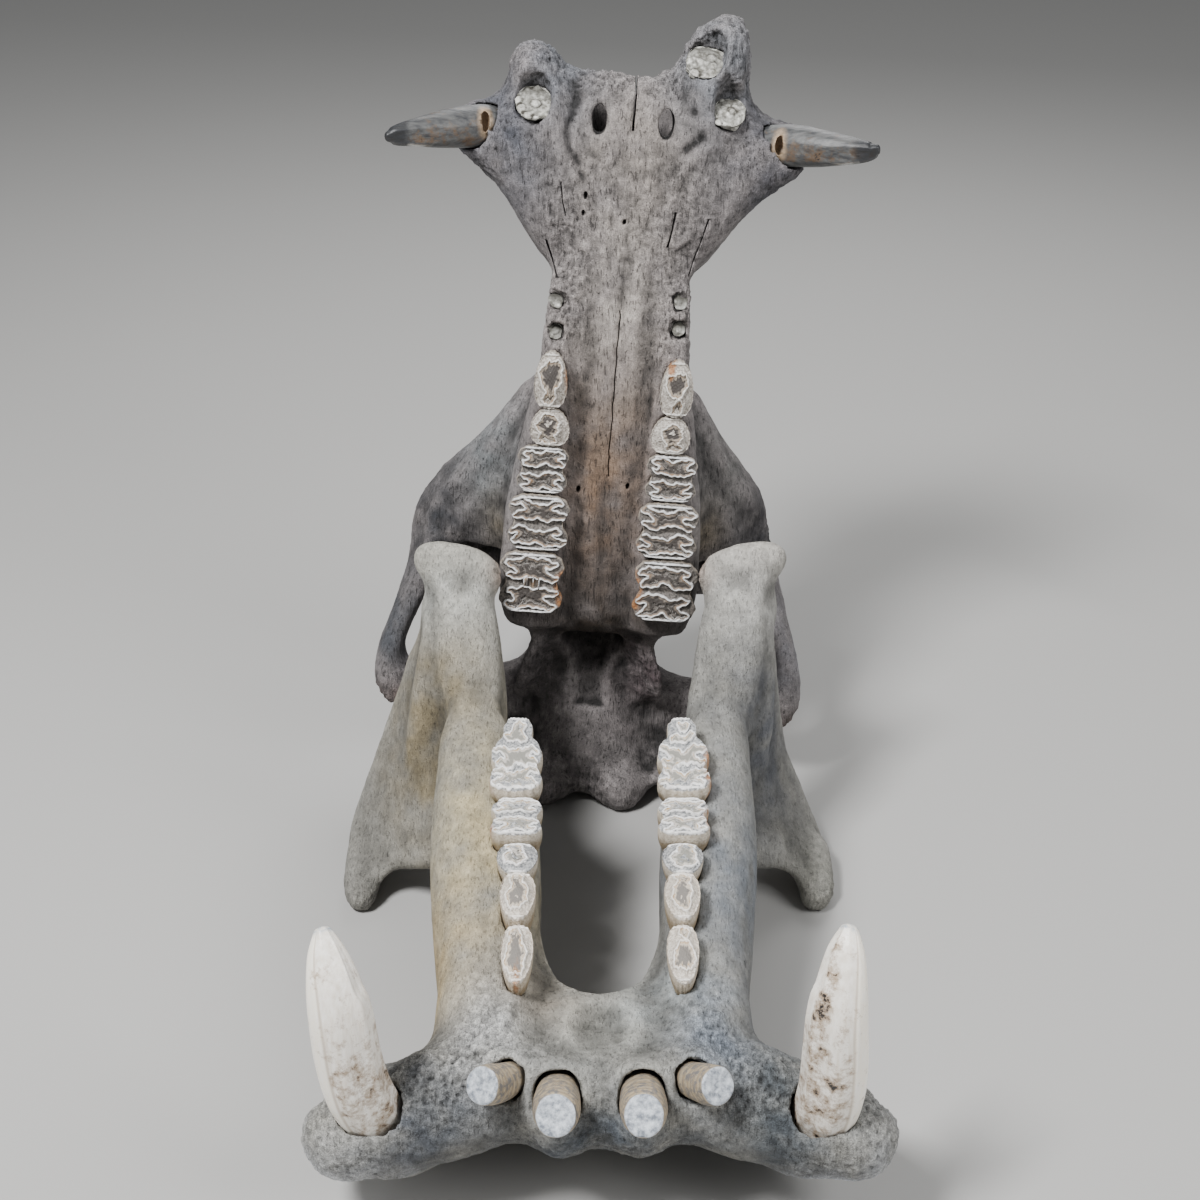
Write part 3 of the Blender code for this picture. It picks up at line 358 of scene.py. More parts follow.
# %% Rows of the lower jaw
CHIN_BAR = (
    (0.0, 7.9, 8.4, 4.6, 3.0, -48.0), (2.6, 6.7, 8.6, 4.9, 3.3, -48.0), (5.0, 8.0, 8.7, 4.6, 3.2, -48.0),
    (8.6, 7.4, 8.2, 4.4, 3.5, -48.0), (10.4, 7.3, 8.2, 4.4, 3.7, -48.0),
    (13.0, 6.6, 7.8, 4.5, 3.1, -48.0), (15.2, 5.7, 7.0, 4.6, 2.7, -48.0),
    (17.0, 5.4, 6.9, 4.1, 2.3, -50.0), (18.0, 5.6, 7.1, 3.2, 1.7, -50.0),
    (18.6, 5.7, 7.2, 1.8, 0.9, -50.0),
)
CHIN = (
    (7.0, 5.0, 6.0, 12.2), (9.0, 6.5, 3.6, 12.4), (11.0, 7.5, 0.9, 12.2), (13.5, 7.8, -0.7, 11.6),
    (16.0, 7.6, -0.7, 10.6), (19.0, 6.6, 1.0, 9.6), (21.5, 5.4, 2.6, 8.8),
)
JAW_BODY = (
    (6.6, 8.6, 8.2, 3.6, 4.7), (7.4, 12.0, 7.8, 3.5, 5.3), (7.5, 16.5, 7.8, 3.5, 5.7),
    (7.9, 22.0, 8.8, 3.8, 5.8), (8.3, 28.0, 10.5, 4.0, 5.8), (8.6, 33.0, 12.0, 3.7, 5.4),
    (9.4, 38.0, 13.2, 2.8, 5.0),
)
RAMUS = (
    (19.2, 39.4, 0.6, 1.0, 2.4, -10.0), (19.0, 40.6, 2.2, 1.25, 3.4, -16.0),
    (17.2, 41.9, 5.0, 1.35, 4.9, -22.0), (14.8, 41.6, 8.5, 1.4, 6.4, -28.0),
    (12.7, 42.0, 12.5, 1.5, 7.1, -31.0), (11.5, 43.0, 16.5, 1.5, 6.3, -34.0),
    (10.9, 43.8, 19.5, 1.5, 5.0, -38.0), (10.9, 45.4, 22.6, 1.6, 3.3, -60.0),
)
ANGLE_HOOK = (
    (19.0, 41.0, 1.8, 1.5, 1.9), (19.0, 37.6, 1.4, 1.5, 1.7), (18.9, 35.9, 1.25, 1.35, 1.45),
    (18.7, 34.8, 1.15, 0.9, 0.95),
)
ANGLE_WEB = (
    (8.5, 37.8, 8.5, 3.8, 3.0), (11.5, 38.0, 6.4, 3.6, 2.4), (14.0, 38.5, 5.0, 3.3, 1.7),
    (16.4, 39.2, 3.8, 2.7, 1.4),
)
RAMUS_SHOULDER = (
    (13.5, 42.2, 9.5, 2.1, 2.0), (13.0, 43.0, 14.0, 2.1, 2.5), (12.5, 44.0, 19.0, 1.6, 2.3),
    (12.2, 45.2, 22.6, 1.3, 1.4),
)
CORONOID = (
    (9.4, 40.8, 14.0, 2.3, 3.1), (9.9, 41.8, 19.0, 2.6, 2.7), (10.3, 43.2, 22.2, 2.3, 2.0),
    (10.7, 44.8, 24.4, 1.8, 1.2),
)
CONDYLE_NECK = (
    (10.8, 44.6, 19.0, 2.9, 1.7), (10.9, 45.9, 22.6, 2.2, 1.3), (10.9, 46.9, 25.0, 2.6, 1.0),
)
INCISOR_BULGE = (
    (2.6, 9.0, 9.0, 2.3, 2.2), (2.6, 6.0, 10.8, 2.1, 2.1), (2.6, 4.2, 11.8, 1.9, 1.9),
)
SECOND_INCISOR_BULGE = (
    (5.3, 9.2, 10.2, 1.9, 1.9), (5.8, 6.6, 11.5, 1.8, 1.8), (6.1, 5.3, 12.1, 1.55, 1.55),
)
TUSK_ROOT_BULGE = (
    (14.3, 4.9, 10.5, 2.9, 2.7), (14.0, 5.5, 9.0, 3.3, 3.1), (13.2, 6.9, 7.0, 3.5, 3.4),
    (10.8, 10.4, 4.8, 3.2, 3.2), (8.0, 14.5, 3.6, 3.0, 3.0),
)
CONDYLE = (
    (7.5, 46.4, 23.8, 0.6, 0.6), (8.5, 46.5, 24.6, 1.4, 1.35), (11.0, 46.9, 25.1, 1.75, 1.55),
    (13.2, 47.1, 25.3, 1.75, 1.4), (14.5, 47.3, 25.4, 0.9, 0.85),
)
JAW_GAP = (
    (0.0, 24.0, -3.0, 4.2, 9.7), (0.0, 24.0, 10.0, 4.3, 9.9), (0.0, 24.0, 20.0, 4.5, 11.5),
)
CHIN_SCOOP = ((0.0, 11.5, 18.6), (6.5, 9.0, 7.0))
# How far in each row of the left half lies, against its mirrored right one.
LEFT_RAMUS_IN = (1.9, 2.4, 2.9, 2.9, 2.1, 1.2, 0.5, 0.0)
LEFT_HOOK_IN = (1.8, 1.8, 1.8, 1.8)
LEFT_WEB_IN = (0.4, 1.0, 1.5, 1.8)
LEFT_SHOULDER_IN = (2.3, 1.4, 0.5, 0.0)
LEFT_BODY_THINNER = 0.45  # how much thinner the left half's body is than the right one
UPWARD, BACKWARD = (0, 0, 1), (0, 1, 0)


def level(rows):
    """The same as across, for the chin, whose rows run back along y."""
    return [(0.0, along, (low + high) / 2, wide, (high - low) / 2) for along, wide, low, high in rows]


def thinner(rows, by):
    """The same rows with the outer side moved in."""
    return [(x - by, y, z, wide - by, *rest) for x, y, z, wide, *rest in rows]


def on_side(side, rows, left_in):
    """The right side's rows, or for the left each of them moved in by its own step."""
    return [(x - step, *rest) for (x, *rest), step in zip(rows, left_in)] if side == 1 else rows


# %% Joining the lower jaw
def jaw_forms():
    bm = bmesh.new()
    tube(bm, level(CHIN), UPWARD, BACKWARD, square=0.8)
    for side in (-1, 1):
        thin = LEFT_BODY_THINNER if side == 1 else 0.0
        tube(bm, CHIN_BAR, UPWARD, SIDEWAYS, side=side)
        tube(bm, thinner(JAW_BODY, thin), UPWARD, BACKWARD, side=side, square=0.75)
        tube(bm, on_side(side, RAMUS, LEFT_RAMUS_IN), BACKWARD, UPWARD, side=side, square=0.8)
        for rows, up, facing in (
            (on_side(side, ANGLE_HOOK, LEFT_HOOK_IN), UPWARD, BACKWARD),
            (on_side(side, ANGLE_WEB, LEFT_WEB_IN), UPWARD, SIDEWAYS),
            (on_side(side, RAMUS_SHOULDER, LEFT_SHOULDER_IN), BACKWARD, UPWARD),
            (CORONOID, BACKWARD, UPWARD),
            (CONDYLE_NECK, BACKWARD, UPWARD),
            (CONDYLE, UPWARD, SIDEWAYS),
            (INCISOR_BULGE, UPWARD, None),
            (SECOND_INCISOR_BULGE, UPWARD, None),
            (TUSK_ROOT_BULGE, UPWARD, None),
        ):
            tube(bm, rows, up, facing, side=side)
    return object_from(bm, "jaw_bone")


jaw = jaw_forms()
one_skin(jaw, ROUGH_VOXEL, 3, FILL_CREASES)
cut_tube(jaw, JAW_GAP, BACKWARD, facing=UPWARD, square=1.0, sides=48)
cut_ball(jaw, CHIN_SCOOP)

# %% [markdown]
# ## Where the cheek teeth stand
#
# Each side of each jaw has two premolars and three molars. From above, a molar is two bulging
# lobes with a waist, a premolar is egg-shaped, and the last lower molar has a third, narrow
# lobe. The tables give each tooth's place and size, and one closed curve gives its outline.

# %% Places and outlines of the cheek teeth
UPPER_TEETH = (
    ("p3", 4.75, 40.5, 36.15, 2.5, 2.1, "egg"),
    ("p4", 4.6, 36.1, 33.15, 3.0, 1.6, "egg"),
    ("m1", 4.95, 33.1, 29.3, 3.9, 1.2, "two lobes"),
    ("m2", 5.0, 29.25, 24.7, 4.7, 1.4, "two lobes"),
    ("m3", 5.25, 24.65, 19.5, 5.0, 1.4, "two lobes"),
)
UPPER_GUM = -0.55
LOWER_TEETH = (
    ("p3", 5.4, 12.1, 16.8, 2.1, 2.1, "egg", 13.0),
    ("p4", 5.5, 16.9, 20.9, 2.4, 2.8, "egg", 13.7),
    ("m1", 5.65, 21.0, 23.7, 2.8, 2.1, "egg", 14.5),
    ("m2", 5.8, 23.8, 27.25, 3.6, 2.3, "two lobes", 15.2),
    ("m3", 5.95, 27.35, 34.8, 3.8, 2.2, "three lobes", 16.7),
)
LOWER_ROW_RISES = 11.0  # degrees
ROOT_DEPTH = 0.95
ROOT_SHARE = 0.72  # how wide a root is at its end, by its crown
PAST_CROWN = 1.5  # how far a socket's cutter runs past the crown


def both_halves(half):
    """A closed outline from its half with v at or above 0, which runs from front to back."""
    return (*half, *((u, -v) for u, v in reversed(half) if v))


# Outlines as (u, v): along the tooth and across it, from -1 to 1.
OUTLINES = {
    "egg": both_halves(((1.0, 0.0), (0.8, 0.55), (0.3, 0.9), (-0.3, 1.0), (-0.8, 0.8), (-1.0, 0.3))),
    "two lobes": both_halves(
        ((1.0, 0.0), (0.9, 0.72), (0.52, 1.0), (0.0, 0.8), (-0.52, 1.0), (-0.9, 0.72), (-1.0, 0.0))
    ),
    "three lobes": both_halves(
        (
            (1.0, 0.0), (0.92, 0.7), (0.68, 1.0), (0.36, 0.8), (0.05, 0.98), (-0.32, 0.78), (-0.48, 0.56),
            (-0.84, 0.52), (-1.0, 0.0),
        )
    ),
}
SOCKET_GAP = 0.09  # a tooth is loose in its socket, and the gap shows as a dark line
OUTLINE_POINTS = 240


def outline_of(kind):
    """The closed curve through an outline's points, as an array of (along, out)."""
    corners = OUTLINES[kind]
    steps = OUTLINE_POINTS // len(corners)
    rows = [corners[-1], *corners, *corners[:2]]
    curve = eased(rows, steps)
    return np.array(curve[steps : steps * (len(corners) + 1)])


def tooth_place(middle, to_front, to_crown, side):
    crown, front = Vector(to_crown).normalized(), Vector(to_front).normalized()
    axes = Matrix((front, Vector((side, 0, 0)), crown)).transposed().to_4x4()
    return Matrix.Translation(Vector(middle)) @ axes


def cheek_teeth():
    """Every cheek tooth: node name, place, length, width, height, outline."""
    rows = []
    rise = math.radians(LOWER_ROW_RISES)
    to_front, to_crown = (0, -math.cos(rise), -math.sin(rise)), (0, -math.sin(rise), math.cos(rise))
    for side, word in SIDES:
        for name, x, front, back, width, height, outline in UPPER_TEETH:
            place = tooth_place((side * x, UPPER_GUM, (front + back) / 2), UP_SKULL, TO_PALATE, side)
            rows.append((f"upper_{name}_{word}", place, front - back, width, height, outline))
        for name, x, front, back, width, height, outline, gum in LOWER_TEETH:
            place = tooth_place((side * x, (front + back) / 2, gum), to_front, to_crown, side)
            rows.append((f"lower_{name}_{word}", place, back - front, width, height, outline))
    return rows


def cut_sockets(bone, jaw_word):
    """Cuts a socket for each cheek tooth of that jaw, a little wider than the tooth."""
    for name, place, length, width, height, kind in cheek_teeth():
        if not name.startswith(jaw_word):
            continue
        up_the_crown = [(by * height, share) for by, share in ((-0.04, 0.9), (0.45, 1.0))]
        bm = bmesh.new()
        rings = []
        for at, share in ((-ROOT_DEPTH, ROOT_SHARE), *up_the_crown, (height + PAST_CROWN, 1.0)):
            made = bmesh.ops.create_circle(bm, segments=len(OUTLINES[kind]), radius=1)["verts"]
            for v, (along, out) in zip(made, OUTLINES[kind]):
                x = along * (length / 2 * share + SOCKET_GAP)
                v.co = place @ Vector((x, out * (width / 2 * share + SOCKET_GAP), at))
            rings.append(edges_of(made))
        closed(bm, rings)
        cut(bone, object_from(bm, "socket"))


cut_sockets(cranium, "upper")
cut_sockets(jaw, "lower")
print(len(cheek_teeth()), "cheek teeth")

# %% [markdown]
# ## Where the front teeth stand
#
# The canines and the lower incisors are round and long, so their rows are tubes again, and the
# same rows made a little wider cut their sockets. The upper incisors and the first two upper
# premolars are gone: only broken root ends are left in their sockets.

# %% Rows of the front teeth
CANINE_FORWARD = {1: (0.4, 2.0), -1: (0.6, 0.3)}  # by side, at its root and at its tip
UPPER_CANINE = (
    (9.0, 2.9, 55.7, 1.2, 1.05), (10.7, 1.85, 55.6, 1.5, 1.3), (12.4, 0.7, 55.5, 1.5, 1.35),
    (14.2, -0.5, 55.3, 1.25, 1.15), (15.9, -1.5, 55.1, 0.95, 0.85), (17.0, -2.1, 54.95, 0.7, 0.6),
    (17.5, -2.4, 54.9, 0.4, 0.35),
)
TUSK_LEFT = (
    (12.5, 7.8, 5.4, 1.55, 1.3), (13.1, 5.9, 7.5, 1.8, 1.5), (13.6, 4.7, 9.8, 1.95, 1.62),
    (13.9, 3.95, 12.6, 2.0, 1.65), (13.9, 3.7, 15.6, 1.97, 1.6), (13.8, 3.7, 18.8, 1.82, 1.45),
    (13.95, 4.1, 21.0, 1.55, 1.2), (14.2, 4.9, 22.9, 1.15, 0.85), (14.45, 5.6, 24.1, 0.55, 0.4),
)
TUSK_RIGHT = (
    (12.4, 7.8, 5.4, 1.55, 1.3), (13.1, 5.9, 7.5, 1.8, 1.5), (13.8, 4.7, 9.8, 1.95, 1.62),
    (14.5, 3.95, 12.6, 2.0, 1.65), (14.9, 3.7, 15.6, 1.97, 1.6), (15.1, 3.7, 18.8, 1.9, 1.45),
    (15.4, 4.1, 21.0, 1.65, 1.2), (15.8, 4.9, 22.7, 1.2, 0.85), (16.1, 5.6, 23.9, 0.55, 0.4),
)
FIRST_INCISOR = (
    (2.6, 8.0, 9.4, 1.15, 1.15), (2.6, 5.0, 11.2, 1.38, 1.38), (2.6, 2.9, 12.45, 1.44, 1.44),
    (2.6, 1.8, 13.1, 1.36, 1.36), (2.6, 1.1, 13.52, 1.18, 1.18), (2.6, 0.8, 13.7, 1.05, 1.05),
)
FIRST_INCISOR_SOCKET = (
    (2.6, 8.1, 9.34, 1.19, 1.19), (2.6, 6.4, 10.4, 1.34, 1.36), (2.6, 3.9, 12.0, 1.5, 1.75),
    (2.6, 1.8, 13.3, 1.64, 2.1),
)
SECOND_INCISOR = (
    (4.9, 7.6, 10.4, 0.92, 0.92), (6.0, 5.0, 12.4, 1.12, 1.12), (6.6, 3.9, 13.3, 1.2, 1.2),
    (7.0, 3.15, 13.95, 1.14, 1.14), (7.06, 3.05, 14.05, 1.02, 1.02),
)
SECOND_INCISOR_SOCKET = (
    (4.86, 7.7, 10.33, 0.96, 0.96), (5.4, 6.3, 11.4, 1.1, 1.13), (6.0, 4.9, 12.5, 1.24, 1.38),
    (6.6, 3.7, 13.5, 1.45, 1.6),
)
# Root remains: node, place of the socket's mouth, two half sizes, how deep the root goes and how
# far its top lies below the mouth.
INCISOR_ROOTS = (
    ("root_upper_i1_left", 4.85, 0.3, 62.6, 1.45, 1.6, 2.0, 0.9),
    ("root_upper_i2_left", 6.95, 0.1, 59.2, 1.25, 1.45, 2.0, 0.85),
    ("root_upper_i1_right", -7.35, 0.1, 58.9, 1.4, 1.6, 2.0, 0.85),
)
PREMOLAR_ROOTS = (
    ("root_upper_p1_left", 4.6, -0.1, 44.4, 0.62, 0.72, 1.0, 0.45),
    ("root_upper_p2_left", 4.6, -0.15, 42.4, 0.62, 0.72, 1.0, 0.45),
    ("root_upper_p1_right", -4.75, -0.1, 43.9, 0.62, 0.72, 1.0, 0.45),
    ("root_upper_p2_right", -4.65, -0.15, 41.5, 0.62, 0.72, 1.0, 0.45),
)
ROOTS = ((INCISOR_ROOTS, (0.0, -0.75, 0.65)), (PREMOLAR_ROOTS, (0.0, -1.0, 0.0)))  # and the way they face
ROUND_GAP = 0.04  # round a root or an incisor, less than at the other teeth


def wider(rows, by):
    return [(x, y, z, wide + by, high + by) for x, y, z, wide, high in rows]


def forward(rows, at_first, at_last):
    """The same rows, moved along the skull: by one amount at the first and another at the last."""
    step = (at_last - at_first) / (len(rows) - 1)
    return [(x, y, z + at_first + step * i, *sizes) for i, (x, y, z, *sizes) in enumerate(rows)]


def root_rows(mouth, sizes, facing, where):
    """Rows along a root: how far out of its socket's mouth each lies, and its size by the root's."""
    outward = Vector(facing).normalized()
    wide, high = sizes
    return [(*(Vector(mouth) + outward * at), wide * size, high * size) for at, size in where]


for side, tusk in ((1, TUSK_LEFT), (-1, TUSK_RIGHT)):
    canine = forward(UPPER_CANINE, *CANINE_FORWARD[side])
    cut_tube(cranium, wider(canine, SOCKET_GAP), TO_ROOF, side=side)
    cut_tube(jaw, wider(tusk, SOCKET_GAP), BACKWARD, side=side)
    for socket in (FIRST_INCISOR_SOCKET, SECOND_INCISOR_SOCKET):
        cut_tube(jaw, wider(socket, ROUND_GAP), UPWARD, side=side)
for roots, facing in ROOTS:
    for name, x, height, length, wide, high, depth, below in roots:
        where = [(-depth, 0.8), (-below - 0.2, 1.0), (1.2, 1.1)]
        rows = root_rows((x, height, length), (wide + ROUND_GAP, high + ROUND_GAP), facing, where)
        cut_tube(cranium, rows, UP_SKULL, facing=facing)

# %% [markdown]
# ## The finished skins
#
# With the openings cut, one more remesh at a finer size rounds every edge a little, as worn bone
# is, and gives even faces all over. A few real cracks are then cut through the fine skin, because
# a remesh would close anything narrower than its voxels.

# %% Fine skins
one_skin(cranium, FINE_VOXEL, 2)
one_skin(jaw, FINE_VOXEL, 2)

# %% [markdown]
# ## Relief on the bone
#
# Real bone is uneven at every size. Sculpting would do it by hand. Here each point moves along
# its normal by sums of noise, and how much depends on where it is: the ends of the broken lobes,
# the chin's corners and the crests beside it are coarse and porous, and the flanks are almost
# smooth with shallow grooves along the bone. Places are measured in the bone's own centimetres.

# %% Measuring and moving points
def vectors(source, field):
    flat = np.empty(len(source) * 3)
    source.foreach_get(field, flat)
    return flat.reshape(-1, 3)


def points(obj):
    return vectors(obj.data.vertices, "co")


def normals(obj):
    return vectors(obj.data.vertex_normals, "vector")


def put_points(obj, where):
    obj.data.vertices.foreach_set("co", where.ravel())
    obj.data.update()


def near(where, centre, radii):
    """1 at the centre, fading to almost 0 at two radii."""
    away = ((where - np.array(centre)) / np.array(radii)) ** 2
    return np.exp(-away.sum(1))


def near_either(where, centre, radii):
    """The same for a centre on either side of the middle line."""
    mirrored = (-centre[0], *centre[1:])
    return np.maximum(near(where, centre, radii), near(where, mirrored, radii))


def fractal(where, size, stretch=(1, 1, 1), octaves=4, shift=0.0):
    """Noise from about -1 to 1 whose largest lumps are of that size, in the unit of where."""
    scale = [1 / (size * s) for s in stretch]
    return np.array(
        [
            noise.fractal(Vector((x * scale[0] + shift, y * scale[1], z * scale[2])), 0.6, 2.0, octaves)
            for x, y, z in where
        ]
    )


PIT_RADIUS = 0.42  # by the size of a cell of the noise


def pits(where, size, shift=0.0):
    """1 in the middle of scattered round pits, 0 between them."""
    out = np.empty(len(where))
    for i, (x, y, z) in enumerate(where):
        distance = noise.voronoi(Vector((x / size + shift, y / size, z / size)))[0][0]
        out[i] = max(0.0, 1 - distance / PIT_RADIUS)
    return out


def beside(where, line, width, axes=(0, 2)):
    """1 on a line of places in the plane of those two axes, fading with the distance from it."""
    flat = where[:, axes]
    away = np.full(len(where), 99.0)
    for start, end in zip(line, line[1:]):
        along = np.array(end) - start
        share = np.clip(((flat - start) @ along) / (along @ along), 0, 1)
        away = np.minimum(away, np.linalg.norm(flat - start - share[:, None] * along, axis=1))
    return np.exp(-((away / width) ** 2))


def move_out(obj, by):
    """Moves each point along its normal by that many centimetres."""
    put_points(obj, points(obj) + normals(obj) * (by * CM)[:, None])


# %% Where the bone is coarse
def coarse_zones(where, zones):
    """1 where the bone is coarse and porous, 0 where it is smooth. Zones: centre, radii, strength."""
    total = sum(strength * near_either(where, centre, radii) for centre, radii, strength in zones)
    return np.clip(total, 0, 1)


CRANIUM_COARSE = (
    ((6.4, 3.0, 62.8), (3.6, 4.0, 3.0), 1.0),
    ((0, 4.0, 60.8), (5.0, 4.5, 2.0), 1.0),
    ((10.0, 3.5, 55.5), (3.5, 3.5, 3.5), 1.0),
    ((4.6, 0.0, 44.0), (1.6, 1.6, 6.0), 1.0),
    ((3.0, 0.0, 50.0), (5.0, 2.5, 6.0), 0.4),
    ((16.3, 8.0, 8.0), (2.5, 3.0, 2.2), 1.0),
    ((12.5, 9.0, 23.0), (3.0, 3.0, 3.0), 0.7),
    ((4.5, 4.0, 13.0), (2.0, 2.5, 4.5), 0.6),
    ((0, 9.0, 1.5), (13.0, 8.0, 2.5), 0.6),
)
JAW_COARSE = (
    ((15.5, 5.5, 8.0), (4.0, 3.5, 4.5), 1.0),
    ((7.0, 9.0, 14.2), (2.6, 4.5, 2.0), 0.8),
    ((9.8, 5.5, 12.0), (3.0, 3.0, 2.5), 0.9),
    ((0.0, 4.5, 8.0), (7.0, 3.5, 5.0), 0.6),
    ((18.0, 36.0, 1.0), (2.0, 3.0, 2.0), 0.6),
    ((8.0, 46.8, 24.3), (1.3, 1.5, 1.3), 0.7),
)
FINER_FROM = 0.3  # how coarse a face has to be before it is cut in four


def finer_where_coarse(obj, zones):
    """Cuts the faces of the coarse regions in four, so small lumps and pits have room there."""
    bm = bmesh.new()
    bm.from_mesh(obj.data)
    middles = np.array([face.calc_center_median() for face in bm.faces]) / CM
    chosen = coarse_zones(middles, zones) > FINER_FROM
    edges = list({edge for face, take in zip(bm.faces, chosen) if take for edge in face.edges})
    bmesh.ops.subdivide_edges(bm, edges=edges, cuts=1, use_grid_fill=True)
    bm.to_mesh(obj.data)
    bm.free()
    print(obj.name, "has", len(obj.data.polygons), "faces after the finer ones")


# %% Relief of the cranium
# Ridges and grooves on the palate side: places as x and length, half width, how far out.
PALATE_LINES = (
    (((-4.3, 57.6), (-4.8, 56.5), (-4.6, 55.1), (-3.8, 54.1), (-3.5, 53.0)), 0.32, -0.22),
    (((-5.5, 57.4), (-5.7, 55.9), (-5.3, 54.5)), 0.35, 0.12),
    (((3.7, 58.7), (4.0, 57.9), (5.5, 57.3), (5.9, 56.1), (4.4, 55.0), (3.7, 53.7), (3.4, 53.0)), 0.33, 0.20),
    (((5.0, 56.5), (4.0, 55.6)), 0.35, -0.22),
    (((2.8, 60.0), (4.1, 58.2)), 0.55, -0.35),
    (((-4.3, 59.3), (-4.2, 58.3)), 0.5, -0.35),
    (((-2.4, 58.9), (-1.4, 58.5), (-1.1, 56.6), (-1.6, 54.6)), 0.3, 0.10),
    (((2.2, 58.9), (1.3, 58.3), (1.0, 56.4), (1.6, 54.6)), 0.3, 0.10),
    (((-3.5, 37.5), (-3.1, 31.0), (-2.8, 22.0)), 0.3, -0.10),
    (((2.9, 37.5), (2.8, 31.0), (2.9, 22.0)), 0.3, -0.10),
    (((-1.5, 49.0), (-1.3, 42.0), (-1.4, 34.0), (-1.2, 24.0)), 0.55, 0.08),
    (((1.5, 49.0), (1.3, 42.0), (1.5, 34.0), (1.3, 24.0)), 0.55, 0.08),
    (((0.1, 50.0), (0.2, 43.0), (-0.1, 34.0), (0.0, 22.0)), 0.35, -0.10),
    (((6.3, 51.5), (5.2, 46.5), (4.6, 44.6)), 0.5, 0.14),
    (((-6.3, 51.5), (-5.2, 46.5), (-4.7, 44.6)), 0.5, 0.14),
)
# The raised rim of the cheek's front plate, the same on both sides.
CHEEK_RIM = ((14.0, 21.5), (13.9, 24.0), (13.2, 26.2), (11.5, 28.6), (9.2, 31.2), (7.6, 34.0))
PALATE_SIDE = 3.0  # heights below it are the palate's side, and the cheek plates rise above it
ROOT_RIM = 1.18  # the size of the swollen rim round a lost incisor, by its root's size
at = points(cranium) / CM
lines = sum(out * beside(at, line, width) for line, width, out in PALATE_LINES) * (at[:, 1] < PALATE_SIDE)
on_cheek = np.clip((at[:, 1] - PALATE_SIDE) / 1.5, 0, 1) * np.clip(-2 * normals(cranium)[:, 1], 0, 1)
folded = np.abs(at)
inner = [(x - 1.3, length - 0.5) for x, length in CHEEK_RIM]
lines += on_cheek * (0.26 * beside(folded, CHEEK_RIM, 0.45) - 0.16 * beside(folded, inner, 0.7))
porous = coarse_zones(at, CRANIUM_COARSE)
lumps = fractal(at, 5.0, octaves=3)
grooves = fractal(at, 1.1, (1, 1, 6), octaves=3, shift=7)
coarse = fractal(at, 0.9, octaves=4, shift=3)
holes = pits(at, 0.8) * np.clip(0.35 + porous + 0.5 * lumps, 0, 1)
rims = 0.0
for _, x, height, length, wide, high, _, _ in INCISOR_ROOTS:
    away = np.linalg.norm((at - np.array((x, height, length))) / (wide, 1.6, high), axis=1)
    rims = rims + np.exp(-(((away - ROOT_RIM) / 0.17) ** 2))
rough = (0.035 + 0.15 * porous) * coarse
sunk = 0.12 * holes * (0.25 + porous)
move_out(cranium, 0.05 * lumps + 0.05 * grooves + rough + 0.14 * rims + lines - sunk)
print("coarse lumps of the cranium, in mm:", round(10 * float(np.abs(rough).max()), 1), "at most")

# %% Relief of the lower jaw
# The crest beside the second incisor's socket, on both sides: places as x and y.
JAW_CREST = ((5.4, 12.4), (6.1, 10.0), (7.7, 7.8), (9.1, 6.2), (10.9, 5.0))
at = points(jaw) / CM
porous = coarse_zones(at, JAW_COARSE)
crest = beside(np.abs(at), JAW_CREST, 0.45, axes=(0, 1)) * np.clip((at[:, 2] - 11.0) / 2, 0, 1)
lumps = fractal(at, 5.0, octaves=3, shift=11)
grooves = fractal(at, 1.1, (1, 5, 2.5), octaves=3, shift=17)
coarse = fractal(at, 0.8, octaves=4, shift=13)
holes = pits(at, 0.7, 5.0) * np.clip(porous * 1.2 + 0.3 * lumps, 0, 1)
rough = (0.014 + 0.17 * porous) * coarse
move_out(jaw, 0.05 * lumps + 0.03 * grooves + rough + 0.16 * crest * (1 + coarse) - 0.13 * holes)
print("coarse lumps of the jaw, in mm:", round(10 * float(np.abs(rough).max()), 1), "at most")

# %% [markdown]
# ## Real cracks and small holes
#
# The suture down the middle of the palate, the slit between the two front lobes and the small
# holes where nerves came out are real openings, so they are cut. A crack is a thin blade that
# follows a wandering line; a Boolean takes it out of the fine skin.

# %% Cutting cracks and holes
def blade(bm, line, thick, deep, outward):
    """A thin strip of a body along a line of places: a tube with very unequal half sizes."""
    first, last = ((*place, thick * 0.3, deep * 0.3) for place in (line[0], line[-1]))
    rows = [first, *((*place, thick, deep) for place in line), last]
    tube(bm, rows, outward, facing=UP_SKULL, sides=8, between=1, square=1.0)


THICKER_BY = (0.0, 0.012, 0.024, 0.036, 0.048)


def cut_surely(obj, make_cutter):
    """Cuts one thin body. Where the Boolean loses the mesh, it comes back and a thicker one is tried."""
    whole = obj.data.copy()
    for more in THICKER_BY:
        bm = bmesh.new()
        make_cutter(bm, more)
        cut(obj, object_from(bm, "cutter"))
        if len(obj.data.polygons) > 0.9 * len(whole.polygons):
            print("cut", len(whole.polygons), "->", len(obj.data.polygons), "faces, thicker by", more)
            return
        obj.data = whole.copy()
    print("a crack could not be cut")


def wandering(x, start, end, steps, sway, seed):
    """A line along the skull that sways about x, as a list of x and length."""
    out = []
    for i in range(steps + 1):
        along = start + (end - start) * i / steps
        out.append((x + sway * noise.noise(Vector((seed, along * 0.9, 0))), along + 0.001 * i))
    return out


palate_side = BVHTree.FromObject(cranium, bpy.context.evaluated_depsgraph_get())


def palate_height(x, length):
    """The height at which a line from the palate side first meets the bone."""
    met = palate_side.ray_cast(Vector((x, -10, length)) * CM, Vector((0, 1, 0)))[0]
    return met.y / CM if met else 0.3


